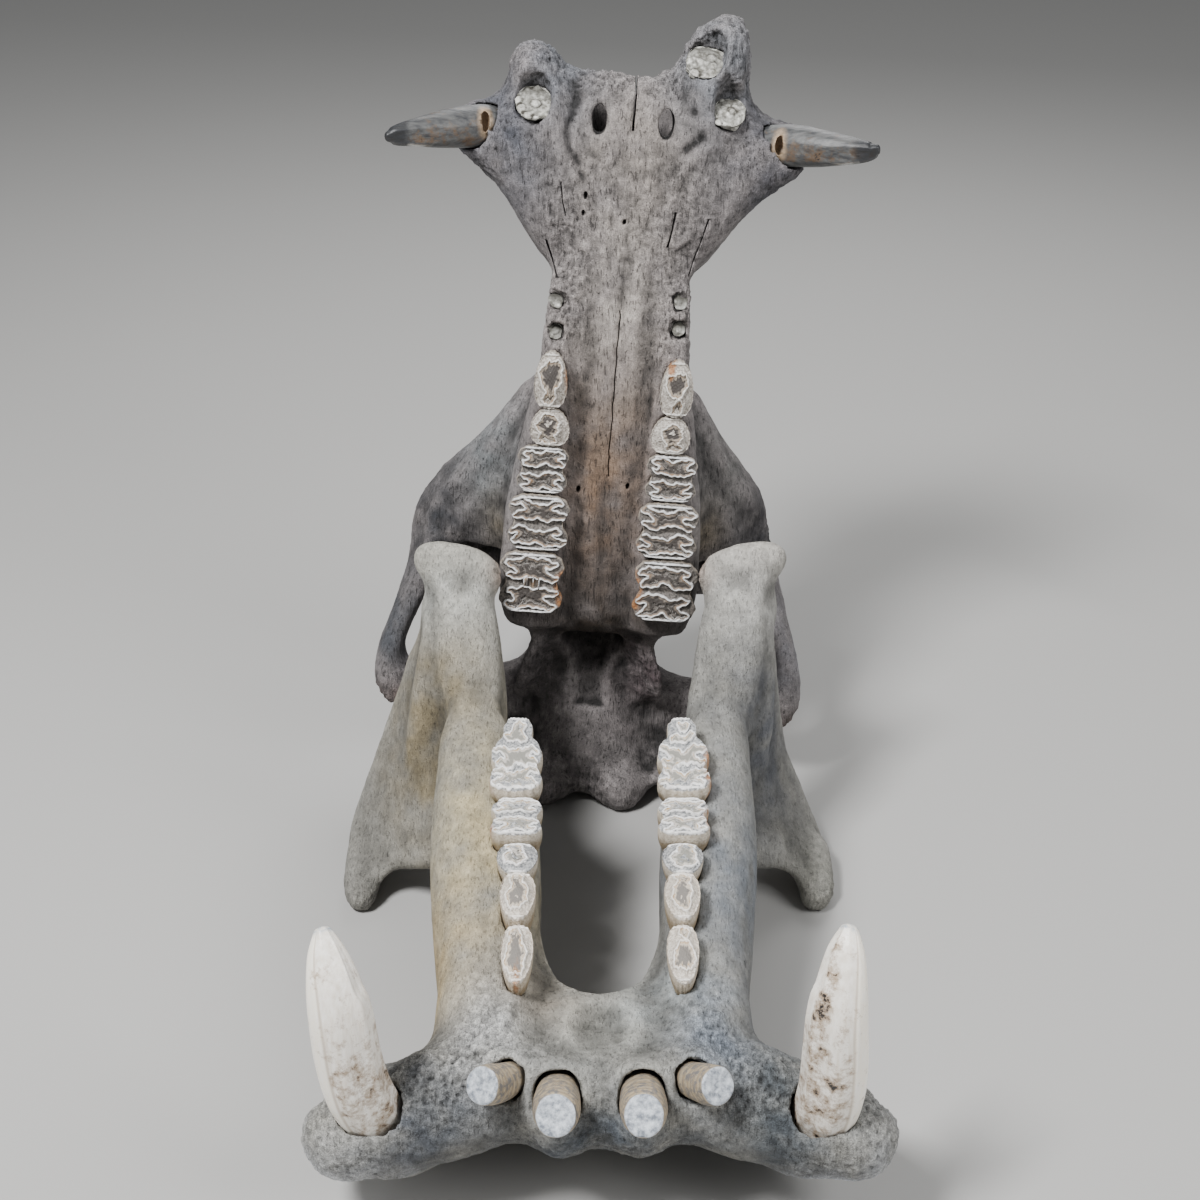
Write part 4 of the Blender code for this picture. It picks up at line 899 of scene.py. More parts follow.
# Cracks and slits on the palate side: places as x and length, half width, depth.
CRACKS = (
    (wandering(0.1, 43.5, 30.5, 26, 0.22, 3.0), 0.05, 0.4),
    (wandering(0.0, 61.5, 56.6, 12, 0.12, 5.0), 0.07, 2.4),
    (((6.1, 50.7), (5.8, 49.3), (5.4, 47.8), (5.05, 46.2)), 0.05, 0.5),
    (((-5.85, 48.2), (-5.35, 46.9), (-4.85, 45.6)), 0.06, 0.5),
    (((-5.0, 52.6), (-4.8, 51.4), (-4.5, 50.2)), 0.05, 0.25),
    (((3.6, 51.0), (3.45, 49.6), (3.2, 48.4)), 0.05, 0.25),
)
# Nerve holes there: x, length and two half sizes.
NERVE_HOLES = (
    (-2.1, 29.4, 0.18, 0.30), (1.7, 29.9, 0.16, 0.26), (-3.1, 51.8, 0.17, 0.3), (-3.2, 50.5, 0.13, 0.22),
    (-0.1, 50.1, 0.15, 0.2),
)
JAW_HOLES = ((-9.6, 17.5, 11.2), (9.6, 16.5, 11.5))  # one beside each half's cheek teeth
JAW_HOLE_RADII = (0.9, 0.32, 0.28)


def crack_cutter(line, thick, deep):
    def make(bm, more):
        blade(bm, [(x + more, y, z) for x, y, z in line], thick + more, deep, TO_ROOF)

    return make


places = [[(x, palate_height(x, length), length) for x, length in line] for line, _, _ in CRACKS]
for line, (_, thick, deep) in zip(places, CRACKS):
    cut_surely(cranium, crack_cutter(line, thick, deep))
for x, length, wide, high in NERVE_HOLES:
    place = (x, palate_height(x, length), length)
    cut_surely(cranium, lambda bm, more: ball(bm, place, (wide + more, 0.6, high)))
for place in JAW_HOLES:
    cut_ball(jaw, (place, JAW_HOLE_RADII))

# %% [markdown]
# ## Torn edges and fine roughness
#
# The broken ends of the front lobes and the thin edge between them are torn, so their points are
# pushed along the skull by coarse noise, all the same way, which leaves the slit open. The
# coarse regions get four faces for each one, with smaller lumps and pits on them. The smooth
# flanks have more faces than they need, so a decimation that keeps the shape takes them away.

# %% Torn edges, fine roughness, fewer faces on the flanks
def thin_to(obj, triangles):
    obj.data.calc_loop_triangles()
    decimate = obj.modifiers.new("Fewer faces", "DECIMATE")
    decimate.ratio = min(1.0, triangles / len(obj.data.loop_triangles))
    apply_modifiers(obj)
    print(obj.name, "thinned to", len(obj.data.polygons), "faces")


BONE_TRIANGLES = 190000
TORN_LOBES = ((6.6, 3.0, 64.2), (4.0, 4.5, 2.2))
TORN_EDGE = ((0, 4.0, 60.8), (5.6, 5.0, 1.5))
TORN_BY = 0.32
for bone, zones, seed in ((cranium, CRANIUM_COARSE, 51), (jaw, JAW_COARSE, 61)):
    finer_where_coarse(bone, zones)
    at = points(bone) / CM
    porous = coarse_zones(at, zones)
    fine = fractal(at, 0.35, octaves=2, shift=seed)
    small_pits = pits(at, 0.36, seed)
    move_out(bone, porous * (0.08 * fine - 0.15 * small_pits))
    if bone is cranium:
        torn = np.clip(near_either(at, *TORN_LOBES) + near(at, *TORN_EDGE), 0, 1)
        at = points(bone)
        at[:, 2] += TORN_BY * CM * torn * fractal(at / CM, 1.2, octaves=4, shift=41)
        put_points(bone, at)
    thin_to(bone, BONE_TRIANGLES)

# %% [markdown]
# ## Hollows and edges
#
# The bone gets painted shade in its hollows and painted light on its edges. An artist would paint
# this by eye. The mesh can tell it: where a point lies below the average of its surroundings it is
# in a hollow. The result is kept on the points, for the materials to read. The main tones of each
# region are kept in the same way.

# %% Hollowness and tones
def linear(hexa):
    """An sRGB hex colour as linear red, green and blue."""
    channels = [int(hexa[i : i + 2], 16) / 255 for i in (0, 2, 4)]
    return tuple(c / 12.92 if c <= 0.04045 else ((c + 0.055) / 1.055) ** 2.4 for c in channels)


HOLLOW_ROUNDS = 14  # of smoothing: more of them find wider hollows


def hollowness(obj, rounds):
    """How far each point lies below its smoothed surroundings, in centimetres."""
    mesh = obj.data
    ends = np.empty(len(mesh.edges) * 2, dtype=np.int64)
    mesh.edges.foreach_get("vertices", ends)
    one, two = ends[0::2], ends[1::2]
    start = points(obj)
    count = np.bincount(ends, minlength=len(start))[:, None]
    moved = start.copy()
    for _ in range(rounds):
        total = np.zeros_like(moved)
        for axis in range(3):
            total[:, axis] = np.bincount(one, moved[two, axis], len(start)) + np.bincount(
                two, moved[one, axis], len(start)
            )
        moved = 0.5 * moved + 0.5 * total / np.maximum(count, 1)
    return ((moved - start) * normals(obj)).sum(1) / CM


def keep_value(obj, name, values):
    layer = obj.data.attributes.new(name, "FLOAT", "POINT")
    layer.data.foreach_set("value", np.asarray(values, dtype=np.float32))


def keep_tones(obj, base, patches, seed):
    """Soft patches of colour laid over a base: centre, radii, hex colour, strength."""
    where = points(obj) / CM
    wobble = fractal(where, 3.0, octaves=3, shift=seed)
    tone = np.tile(np.array(linear(base)), (len(where), 1))
    for centre, radii, hexa, strength in patches:
        share = near(where, centre, radii) * (1 + 0.8 * wobble)
        share = np.clip(strength * share, 0, 1)[:, None]
        tone += (np.array(linear(hexa)) - tone) * share
    layer = obj.data.attributes.new("tone", "FLOAT_COLOR", "POINT")
    layer.data.foreach_set("color", np.hstack([tone, np.ones((len(tone), 1))]).ravel())


for bone, zones in ((cranium, CRANIUM_COARSE), (jaw, JAW_COARSE)):
    # The hollow value drives painted shade in the hollows and painted light on the edges.
    keep_value(bone, "hollow", hollowness(bone, HOLLOW_ROUNDS))
    keep_value(bone, "porous", coarse_zones(points(bone) / CM, zones))
print("hollows and coarseness kept on both bones")

# %% Tones of the cranium
CRANIUM_TONES = (
    ((0, 0.5, 31), (3.4, 3, 10), "7A6350", 0.95),
    # Painted shade: the dark brown behind the tooth rows, where the palate ends and the choanae open.
    ((0, 1.0, 18.5), (4.5, 4, 5), "3D332A", 0.95),
    ((0, 0.0, 44), (3.5, 3, 8), "B2AAA3", 0.8),
    ((0, 0.0, 55), (5, 4, 5), "9A9189", 0.7),
    ((-5.5, 2, 61), (3.5, 4, 4), "787A80", 0.8),
    ((6.0, 2, 61), (3.5, 4, 4), "84878D", 0.8),
    ((-10, 3, 55), (5, 4, 5), "5D606A", 0.85),
    ((10, 3, 55), (5, 4, 5), "505057", 0.9),
    ((-8.0, 6, 30), (3.5, 4, 4), "7C8285", 0.9),
    ((8.0, 6, 30), (3.5, 4, 4), "807E7C", 0.9),
    ((-12.5, 8, 24), (3.5, 4, 5), "36373B", 0.95),
    ((12.5, 8, 24), (3.5, 4, 5), "3C3A3D", 0.95),
    ((-7.6, 4.5, 25), (1.8, 3, 3), "7E7565", 0.8),
    ((7.8, 4.5, 25), (1.8, 3, 3), "84796A", 0.8),
    ((-16, 8.5, 14), (3, 4, 5), "4E5055", 0.9),
    ((16, 8.5, 14), (3, 4, 5), "7C7C82", 0.8),
    ((-16, 7.8, 8.2), (2.5, 2.5, 1.8), "625049", 0.9),
    ((16, 7.8, 8.2), (2.5, 2.5, 1.8), "66564E", 0.9),
    ((4.5, 4.5, 13), (2.5, 3, 5), "65595B", 0.9),
    # Painted shade: the right pterygoid plate, at -x, is darker than the left one.
    ((-4.5, 4.5, 13), (2.5, 3, 5), "4A4444", 0.9),
)
keep_tones(cranium, "878180", CRANIUM_TONES, 21)
print("cranium tones:", len(CRANIUM_TONES))

# %% Tones of the lower jaw
JAW_TONES = (
    ((-12, 42, 12), (5, 7, 10), "8C8066", 1.0),
    ((12, 42, 12), (5, 6, 10), "63656A", 0.95),
    ((-11, 45, 22.5), (3.5, 3, 3), "BDBEB9", 0.9),
    ((11, 45, 22.5), (3.5, 3, 3), "BDBBB6", 0.9),
    ((-11, 47.5, 26), (4.5, 2, 1.5), "B5B2A8", 0.8),
    ((11, 47.5, 26), (4.5, 2, 1.5), "B8B3AC", 0.8),
    ((-7.9, 46.8, 24.3), (1.3, 1.6, 1.3), "A38B7C", 0.8),
    ((7.9, 46.8, 24.3), (1.3, 1.6, 1.3), "A8968A", 0.8),
    ((-8, 27, 13), (4, 9, 6), "BAAD8A", 0.95),
    ((-10, 17, 8), (4, 7, 6), "B8A47C", 0.95),
    ((8, 25, 11), (4.5, 11, 7), "74797F", 0.95),
    ((9.5, 14, 7), (3, 5, 5), "6E6F72", 0.8),
    ((0, 10, 12), (5, 5, 4), "A3A29A", 0.85),
    ((-7.5, 7.5, 10.5), (3, 3, 3), "C0C1C2", 0.85),
    ((7.5, 7.5, 10.5), (3, 3, 3), "8E98A6", 0.8),
    ((-4.2, 13, 12.5), (3, 3, 3), "ABA294", 0.9),
    ((4.2, 13, 12.5), (3, 3, 3), "A7ACAC", 0.9),
    ((0, 3.5, 8), (7, 4, 5), "5E646B", 0.8),
    ((-11.5, 5, 9), (4, 4.5, 4.5), "565A60", 0.95),
    ((11.5, 5, 9), (4, 4.5, 4.5), "4C5257", 0.95),
    # Painted light: the jaw's lower corners are made near white, against the shade that the lamps above give
    # them.
    ((-17.5, 4, 3.5), (4.5, 5, 4), "F2F4F8", 1.1),
    ((17.5, 4, 3.5), (4.5, 5, 4), "D6DAE2", 1.1),
    ((-6.5, 10, 14.2), (2.5, 4, 2), "BDBDBB", 0.7),
    ((6.5, 10, 14.2), (2.5, 4, 2), "7E8793", 0.8),
    ((-18.5, 37, 1.5), (2.5, 4, 3), "7C7A74", 0.8),
    ((17, 37, 1.5), (2.5, 4, 3), "84837B", 0.8),
)
keep_tones(jaw, "93918A", JAW_TONES, 31)
print("jaw tones:", len(JAW_TONES))

# %% [markdown]
# ## Worn cheek teeth
#
# A hippo's molars wear flat, and the hard enamel stands up as white curly bands round islands
# of softer, darker dentine. Painting the bands would look flat from the side. So each crown is
# drawn as closed rings, from the root up over the rim and across the top, and the top's
# height comes from a field of cusps: each cusp adds a soft three-leaved hill, the enamel runs
# where the sum crosses one level, and the distance from that line gives both the ridge and the
# colours.

# %% Cusps and the enamel between them
FINGER_OUT, HUB_OUT = 0.56, 0.22  # from the tooth's middle line, by its half width


# A cusp is a soft hill: the u and v of its top, and how far it spreads along and across.
def lobe(middle, spread):
    """One lobe of a molar: on each side two fingers and the hub that joins them."""
    hills = []
    for side in (1, -1):
        hills += [
            (middle + spread, side * FINGER_OUT, 0.66 * spread, 0.36),
            (middle - spread, side * FINGER_OUT, 0.66 * spread, 0.36),
            (middle, side * HUB_OUT, 1.2 * spread, 0.26),
        ]
    return hills


CUSPS = {
    "egg": [(0.16, 0.03, 0.60, 0.74), (-0.66, 0.12, 0.24, 0.42)],
    "two lobes": [*lobe(0.47, 0.21), *lobe(-0.47, 0.21)],
    "three lobes": [
        *lobe(0.68, 0.14),
        *lobe(0.12, 0.15),
        (-0.40, 0.25, 0.12, 0.24),
        (-0.40, -0.25, 0.12, 0.24),
        (-0.70, 0.0, 0.18, 0.32),
    ],
}
ENAMEL_LEVEL = 0.5
LEAST_SLOPE = 0.35  # per cm, so that a flat place isn't taken for one far from the enamel


def cusp_field(u, v, kind, seed):
    """How far the sum of the cusps lies above the level that the enamel follows."""
    a = 2.4 * seed
    bent_u = u + 0.045 * np.sin(4.6 * v + a) + 0.03 * np.sin(11.3 * v + 2 * a)
    bent_u = bent_u + 0.016 * np.sin(25 * v + 9 * u + a)
    bent_v = v + 0.05 * np.sin(5.7 * u + 3 * a) + 0.04 * np.sin(12.1 * u + a)
    bent_v = bent_v + 0.02 * np.sin(29 * u - 8 * v + 2 * a)
    total = np.zeros_like(u)
    for i, (cu, cv, long, broad) in enumerate(CUSPS[kind]):
        du = (bent_u - cu - 0.035 * math.sin(a + 1.7 * i)) / (long * (1 + 0.18 * math.sin(2 * a + 2.3 * i)))
        dv = (bent_v - cv - 0.05 * math.cos(1.3 * a + i)) / (broad * (1 + 0.12 * math.sin(a + 3.1 * i)))
        total += np.exp(-(du**2) - dv**2)
    return total - ENAMEL_LEVEL


def from_enamel(u, v, kind, seed, half_length, half_width):
    """Distance in cm from the nearest enamel line, positive on the dentine inside a loop."""
    step = 0.01
    value = cusp_field(u, v, kind, seed)
    slope_u = (cusp_field(u + step, v, kind, seed) - value) / (step * half_length)
    slope_v = (cusp_field(u, v + step, kind, seed) - value) / (step * half_width)
    return value / np.maximum(np.hypot(slope_u, slope_v), LEAST_SLOPE)


# %% [markdown]
# The rings of a crown are its own outline at other sizes. Those on the top take their height from
# the relief, and three marks are kept on every point for the material to read: the distance from
# the enamel, which is above 0 on the dentine inside a loop, the depth below the worn top, and how
# much of the orange stain there is that some teeth have.

# %% One worn crown
MARKS = ("from_enamel", "depth", "stain")  # lengths in mm
ENAMEL_HALF = 0.075
ENAMEL_RISES = 0.11
ENDS_AT = 0.9  # where the enamel of a crown's two ends runs, by its half length
TOP_RINGS = 36
CROWN_SIDE = ((-0.04, 0.88), (0.3, 0.97), (0.6, 1.0), (0.94, 0.975))  # height and size of its rings
# How low the dentine and the valleys lie, and how far from the enamel they reach that depth.
EGG_FLOOR, LOBED_FLOOR = (-0.16, -0.12, 0.4), (-0.06, -0.17, 0.15)
VALLEY_AT = {"two lobes": 0.0, "three lobes": 0.4}
# Where a tooth is stained: the u and v of the middle, and how much.
STAINED = {
    "upper_m2_left": (-0.9, -1.0, 0.5),
    "upper_m3_left": (-0.1, -1.0, 1.0),
    "upper_m3_right": (-0.1, -1.0, 1.0),
    "upper_p3_left": (0.9, -0.4, 1.0),
    "upper_p3_right": (0.2, -1.0, 0.7),
    "lower_m2_left": (0.0, 1.0, 0.8),
    "lower_m3_left": (0.3, 1.0, 0.9),
    "lower_m2_right": (0.6, 1.0, 0.6),
    "lower_m3_right": (0.7, 1.0, 0.5),
    "lower_p3_right": (0.9, 0.0, 0.7),
}


def crown_relief(u, v, kind, seed, half_length, half_width):
    """The height of a worn top's ridges, floors and waves, and the distance from the enamel."""
    away = from_enamel(u, v, kind, seed, half_length, half_width)
    end_band = np.where(np.abs(v) < 0.75, (np.abs(u) - ENDS_AT) * half_length, 9.0)
    nearest = np.where(np.abs(end_band) < np.abs(away), -np.abs(end_band), away)
    ridge = ENAMEL_RISES * np.exp(-((nearest / ENAMEL_HALF) ** 2))
    dentine, valley, slope = EGG_FLOOR if kind == "egg" else LOBED_FLOOR
    floor = np.where(nearest > 0, dentine, valley) * np.clip(np.abs(nearest) / slope, 0, 1)
    if kind in VALLEY_AT:
        floor -= 0.16 * np.exp(-(((u - VALLEY_AT[kind]) / 0.1) ** 2)) * (nearest < 0)
    waves = 0.03 * np.sin(9 * u + 5 * seed) * np.sin(8 * v + 3 * seed)
    waves = waves + 0.014 * np.sin(37 * u + 9 * v) * np.sin(33 * v - 7 * u)
    return ridge + floor + waves, nearest


def worn_crown(name, place, length, width, height, kind, seed):
    half_length, half_width = length / 2, width / 2
    outline = outline_of(kind)
    dome = 0.28 * height if kind == "egg" else 0.1
    side_rows = [(-ROOT_DEPTH, ROOT_SHARE), *((by * height, share) for by, share in CROWN_SIDE)]
    top_rows = [(height, share) for share in np.linspace(0.95, 0.02, TOP_RINGS)]
    bm = bmesh.new()
    layers = {mark: bm.verts.layers.float.new(mark) for mark in MARKS}
    stain_u, stain_v, stain_much = STAINED.get(name, (0.0, 0.0, 0.0))
    rings = []
    for at, share in eased(side_rows, 4) + top_rows:
        u, v = outline[:, 0] * share, outline[:, 1] * share
        relief, nearest = crown_relief(u, v, kind, seed, half_length, half_width)
        rise = relief - dome * (u * u + v * v)
        on_top = at >= height
        heights = at + rise * (1.0 if on_top else max(0.0, at / height) ** 6)
        ribs = 1 + 0.012 * np.sin(23 * np.arctan2(v, u) + seed) * (0.0 if on_top else 1.0)
        stain = stain_much * np.exp(-(((u - stain_u) / 0.75) ** 2) - ((v - stain_v) / 0.3) ** 2)
        depths = height - dome * (u**2 + v**2) - heights
        made = bmesh.ops.create_circle(bm, segments=len(outline), radius=1)["verts"]
        for i, point in enumerate(made):
            point.co = place @ Vector((u[i] * half_length * ribs[i], v[i] * half_width * ribs[i], heights[i]))
            point[layers["from_enamel"]] = 10 * nearest[i]
            point[layers["depth"]] = 0.0 if on_top else 10 * max(0.0, depths[i])
            point[layers["stain"]] = stain[i]
        rings.append(edges_of(made))
    closed(bm, rings)
    return object_from(bm, name + "_worn")


pieces = {}
for number, (name, place, length, width, height, kind) in enumerate(cheek_teeth()):
    pieces[name] = worn_crown(name, place, length, width, height, kind, number + 1)
print("faces in one molar:", len(pieces["upper_m2_left"].data.polygons))

# %% [markdown]
# ## Tusks, canines and incisors
#
# A hippo's lower canines never stop growing. Each is a curved ivory shaft with a strip of enamel
# along its outer side, and the upper canine grinds a flat facet on it towards the tip. The
# lofted tube is right for it, with a rule that trims the ovals flat on two sides and lifts the
# enamel a little. The rule also says how much of each point is enamel and how stained it is.

# %% Tusks
FRONT_MARKS = ("enamel", "facet", "tip")


def front_tooth(name, rows, up, side, shape):
    bm = bmesh.new()
    for mark in FRONT_MARKS:
        bm.verts.layers.float.new(mark)
    tube(bm, rows, up, side=side, sides=72, between=10, square=0.95, shape=shape)
    return object_from(bm, name + "_worn")


def ramp(low, high, value):
    """0 below low, 1 above high, smooth between."""
    share = min(1.0, max(0.0, (value - low) / (high - low)))
    return share * share * (3 - 2 * share)


def toward(angle, middle):
    """The angle from the middle one, in degrees, from 0 to 180."""
    away = math.degrees(angle) - middle
    return abs((away + 180) % 360 - 180)


def rough_round(t, angle, across, along, seed):
    """Noise on a tooth's skin that has no seam where the angle comes round."""
    return noise.noise(Vector((math.cos(angle) * across, math.sin(angle) * across, t * along + seed)))


# Angles round a tusk, in degrees: its enamel strip, the worn flat, the flat beside it, the decay.
STRIP_AT, WORN_AT, INNER_AT, DECAY_AT = 12, 232, 190, 222


def tusk_shape(facet_from, seed, decayed):
    """A tusk's rule: how far each angle reaches at t, from 0 at its base to 1 at its tip."""
    def shape(t, angle):
        strip = 1 - ramp(68, 76, toward(angle, STRIP_AT))
        flat_much = ramp(facet_from, facet_from + 0.05, t)
        reach = 1.0
        for middle, closest in ((WORN_AT, 0.76), (INNER_AT, 0.84 - 0.12 * flat_much)):
            lean = math.cos(math.radians(toward(angle, middle)))
            if lean > 0:
                reach = min(reach, closest / lean)
        ripple = 0.006 * math.sin(9 * math.degrees(angle) * 0.11)
        ripple += 0.012 * rough_round(t, angle, 1.7, 9, seed)
        size = reach + 0.05 * strip + ripple
        along = ramp(0.23, 0.31, t) * (1 - ramp(0.66, 0.76, t))
        middle_band = (1 - ramp(12, 45, toward(angle, DECAY_AT))) * along
        at_base = 0.8 * (1 - strip) * (1 - ramp(0.34, 0.50, t))
        stained = max(middle_band, at_base) if decayed else at_base
        return size, {"enamel": strip, "facet": stained, "tip": t}

    return shape


def rounded_tip(rows):
    """The last oval drawn in along the tooth, so it ends in a blunt tip and not in a flat."""
    end, before = Vector(rows[-1][:3]), Vector(rows[-2][:3])
    on, (wide, high) = (end - before).normalized(), rows[-1][3:5]
    drawn_in = ((-0.15, 1.1), (0.1, 0.78), (0.2, 0.35), (0.22, 0.05))
    return [*rows[:-1], *((*(end + on * by), wide * share, high * share) for by, share in drawn_in)]


FACET_FROM = {1: 0.50, -1: 0.49}  # how far along each tusk its facet begins
for (side, word), rows in zip(SIDES, (TUSK_LEFT, TUSK_RIGHT)):
    name = f"lower_canine_{word}"
    shape = tusk_shape(FACET_FROM[side], 3.0 + side, decayed=side == 1)
    pieces[name] = front_tooth(name, rounded_tip(rows), BACKWARD, side, shape)
print("faces in a tusk:", len(pieces["lower_canine_left"].data.polygons))

# %% [markdown]
# The upper canines are short, worn to a chisel where they met the tusks, and almost black at
# the tip, with a broken hollow at the base. The lower incisors are round pegs with rings of
# growth, worn off on a slant. All four point forward, and the outer two to the side as well. Each
# is cut by a plane, and its worn face is made of smaller and smaller copies of the rim.

# %% Upper canines and incisors
FLAT_AT, BAND_AT = 285, 335  # angles round an upper canine: its worn flat and its enamel


def upper_canine_shape(seed):
    def shape(t, angle):
        flat = 0.76 + 0.2 * (1 - ramp(0.27, 0.54, t))
        lean = math.cos(math.radians(toward(angle, FLAT_AT)))
        reach = min(1.0, flat / lean) if lean > 0 else 1.0
        strip = (1 - ramp(8, 15, toward(angle, BAND_AT))) * ramp(0.36, 0.42, t) * (1 - ramp(0.72, 0.78, t))
        rough = 0.04 * rough_round(t, angle, 2, 8, seed)
        stained = ramp(20, 40, 60 - toward(angle, FLAT_AT))
        return reach + 0.04 * strip + rough, {"enamel": strip, "facet": stained, "tip": t}

    return shape


def incisor_shape(seed):
    def shape(t, angle):
        rings = 0.003 * math.sin(60 * t + 2 * noise.noise(Vector((seed, t * 6, 0))))
        rough = 0.03 * rough_round(t, angle, 1.5, 5, seed)
        return 1 + rings + rough, {"enamel": 0.0, "facet": 0.0, "tip": t}

    return shape


def longer(rows, by):
    """An incisor's rows with its end drawn out, so the worn end can be cut slantwise."""
    end, before = Vector(rows[-1][:3]), Vector(rows[-2][:3])
    wide, high = rows[-2][3:5]
    return [*rows[:-1], (*(end + (end - before).normalized() * by), wide * 0.98, high * 0.98)]


# Each ring of a worn face: its size by the one before it, and how far it rises, in cm.
WORN_RINGS = ((0.965, 0.05), (0.95, 0.045), (0.9, 0.02), (0.75, 0.01), (0.65, 0.01), (0.4, 0.0))


def worn_end(obj, place, facing_way, side):
    """Cuts the end off on a slant, rounds its rim, and marks the face as the worn one."""
    at = Vector((side * place[0], *place[1:])) * CM
    faces_to = Vector((side * facing_way[0], *facing_way[1:])).normalized()
    bm = bmesh.new()
    bm.from_mesh(obj.data)
    everything = [*bm.verts, *bm.edges, *bm.faces]
    made = bmesh.ops.bisect_plane(
        bm, geom=everything, dist=1e-6, plane_co=at, plane_no=faces_to, clear_outer=True
    )
    rim = [part for part in made["geom_cut"] if isinstance(part, bmesh.types.BMEdge)]
    face = bmesh.ops.contextual_create(bm, geom=rim)["faces"]
    facet = bm.verts.layers.float["facet"]
    middle = face[0].calc_center_median()
    for share, rise in WORN_RINGS:
        bmesh.ops.inset_region(bm, faces=face, thickness=0.0)
        for v in face[0].verts:
            v.co = middle + (v.co - middle) * share + faces_to * rise * CM
            v[facet] = 1.0
    bmesh.ops.poke(bm, faces=face)
    for v in bm.verts:
        if (v.co - at).dot(faces_to) > 0.01 * CM:
            v[facet] = 1.0
            v.co += faces_to * 0.06 * CM * noise.noise(v.co / CM * 1.8)
    bmesh.ops.recalc_face_normals(bm, faces=bm.faces)
    bm.to_mesh(obj.data)
    bm.free()


# The incisors: their rows, a place on the plane of the worn end, the way it faces, and how far
# the rows run past it.
INCISORS = (
    (FIRST_INCISOR, (2.6, 1.14, 13.5), (0.0, -0.69, 0.72), 0.4),
    (SECOND_INCISOR, (7.0, 3.15, 13.97), (0.5, -0.65, 0.57), 0.3),
)
BROKEN_BASE = (10.9, 0.7, 56.4), (0.5, 0.65, 0.85)
for side, word in SIDES:
    name = f"upper_canine_{word}"
    canine = rounded_tip(forward(UPPER_CANINE, *CANINE_FORWARD[side]))
    pieces[name] = front_tooth(name, canine, TO_ROOF, side, upper_canine_shape(5.0 + side))
    cut_ball(pieces[name], BROKEN_BASE, side)
    where, radii = BROKEN_BASE
    decay = near(points(pieces[name]) / CM, (side * where[0], *where[1:]), [1.25 * r for r in radii])
    keep_value(pieces[name], "decay", np.clip(2 * decay, 0, 1))
    for number, (rows, place, facing_way, past) in enumerate(INCISORS, 1):
        name = f"lower_i{number}_{word}"
        pieces[name] = front_tooth(name, longer(rows, past), UPWARD, side, incisor_shape(number + side))
        worn_end(pieces[name], place, facing_way, side)

# %% [markdown]
# ## Broken roots
#
# What is left in the empty sockets is a chalky, lumpy filling of root and dust. A short closed
# tube, with its top pushed about by coarse noise, gives the pebbly look.

# %% Root remains
SINKS = 0.35  # how far a root's upper side lies below its lower side, by its half height
# The rounded top of a root: how far each oval lies above the top's height, and its size.
ROOT_TOP = ((-0.3, 1.0), (-0.12, 0.96), (0.0, 0.8), (0.04, 0.5), (0.05, 0.03))
for roots, facing in ROOTS:
    for name, x, height, length, wide, high, depth, below in roots:
        where = [(-depth + 0.05, 0.8), *((rise - below, size) for rise, size in ROOT_TOP)]
        rows = root_rows((x, height, length), (wide, high), facing, where)
        bm = bmesh.new()
        tube(bm, rows, UP_SKULL, facing=facing, sides=56, between=8)
        pieces[name] = object_from(bm, name + "_broken")
        at = points(pieces[name]) / CM
        lumps = 0.30 * pits(at, 0.95, x) - 0.14 + 0.04 * fractal(at, 0.4, octaves=2)
        move_out(pieces[name], np.clip(lumps, -0.16, 0.15))
        keep_value(pieces[name], "hollow", hollowness(pieces[name], 12))
        outward = Vector(facing).normalized()
        out = at @ np.array(outward) - outward.dot((x, height, length))
        near_top = np.clip((out + below + 0.5) / 0.4, 0, 1)
        sunk = near_top * np.clip(0.5 + (at[:, 2] - length) / (1.4 * high), 0, 1) ** 1.5
        inward = (SINKS * high * CM * sunk)[:, None] * np.array(outward)
        put_points(pieces[name], points(pieces[name]) - inward)
        # The sunk share is also the mask of the painted shadow in the root material.
        keep_value(pieces[name], "sunk", sunk)
print(len(pieces), "teeth and roots")

# %% [markdown]
# ## Adding nodes
#
# A material is a small graph. Writing each node out takes many lines, so one function adds a
# node, sets its fields and fills its sockets, from numbers or from other nodes' outputs.

# %% The node helper
def add_node(tree, kind, sockets=(), **fields):
    """A new node. Sockets are (name or number, value or another node's output)."""
    node = tree.nodes.new(kind)
    for field, value in fields.items():
        setattr(node, field, value)
    for key, value in sockets:
        if isinstance(value, bpy.types.NodeSocket):
            tree.links.new(value, node.inputs[key])
        else:
            node.inputs[key].default_value = value
    return node


def object_places(tree):
    return add_node(tree, "ShaderNodeTexCoord").outputs["Object"]


def kept_values(tree, *names):
    """The values that were kept on the points under those names."""
    return [add_node(tree, "ShaderNodeAttribute", attribute_name=name).outputs["Fac"] for name in names]


def stretched(tree, where, scale):
    return add_node(tree, "ShaderNodeMapping", [("Vector", where), ("Scale", scale)]).outputs[0]


def mixed(tree, factor, first, second):
    """A colour between two, each a hex colour or another node's output."""
    ends = [(*linear(end), 1) if isinstance(end, str) else end for end in (first, second)]
    sockets = [("Factor", factor), (6, ends[0]), (7, ends[1])]
    return add_node(tree, "ShaderNodeMix", sockets, data_type="RGBA").outputs[2]


def ranged(tree, value, low, high, to_low=0.0, to_high=1.0):
    """The value taken from one range to another and held inside it."""
    names = ("Value", "From Min", "From Max", "To Min", "To Max")
    sockets = list(zip(names, (value, low, high, to_low, to_high)))
    return add_node(tree, "ShaderNodeMapRange", sockets).outputs[0]


def mathed(tree, operation, *values):
    return add_node(tree, "ShaderNodeMath", list(enumerate(values)), operation=operation).outputs[0]


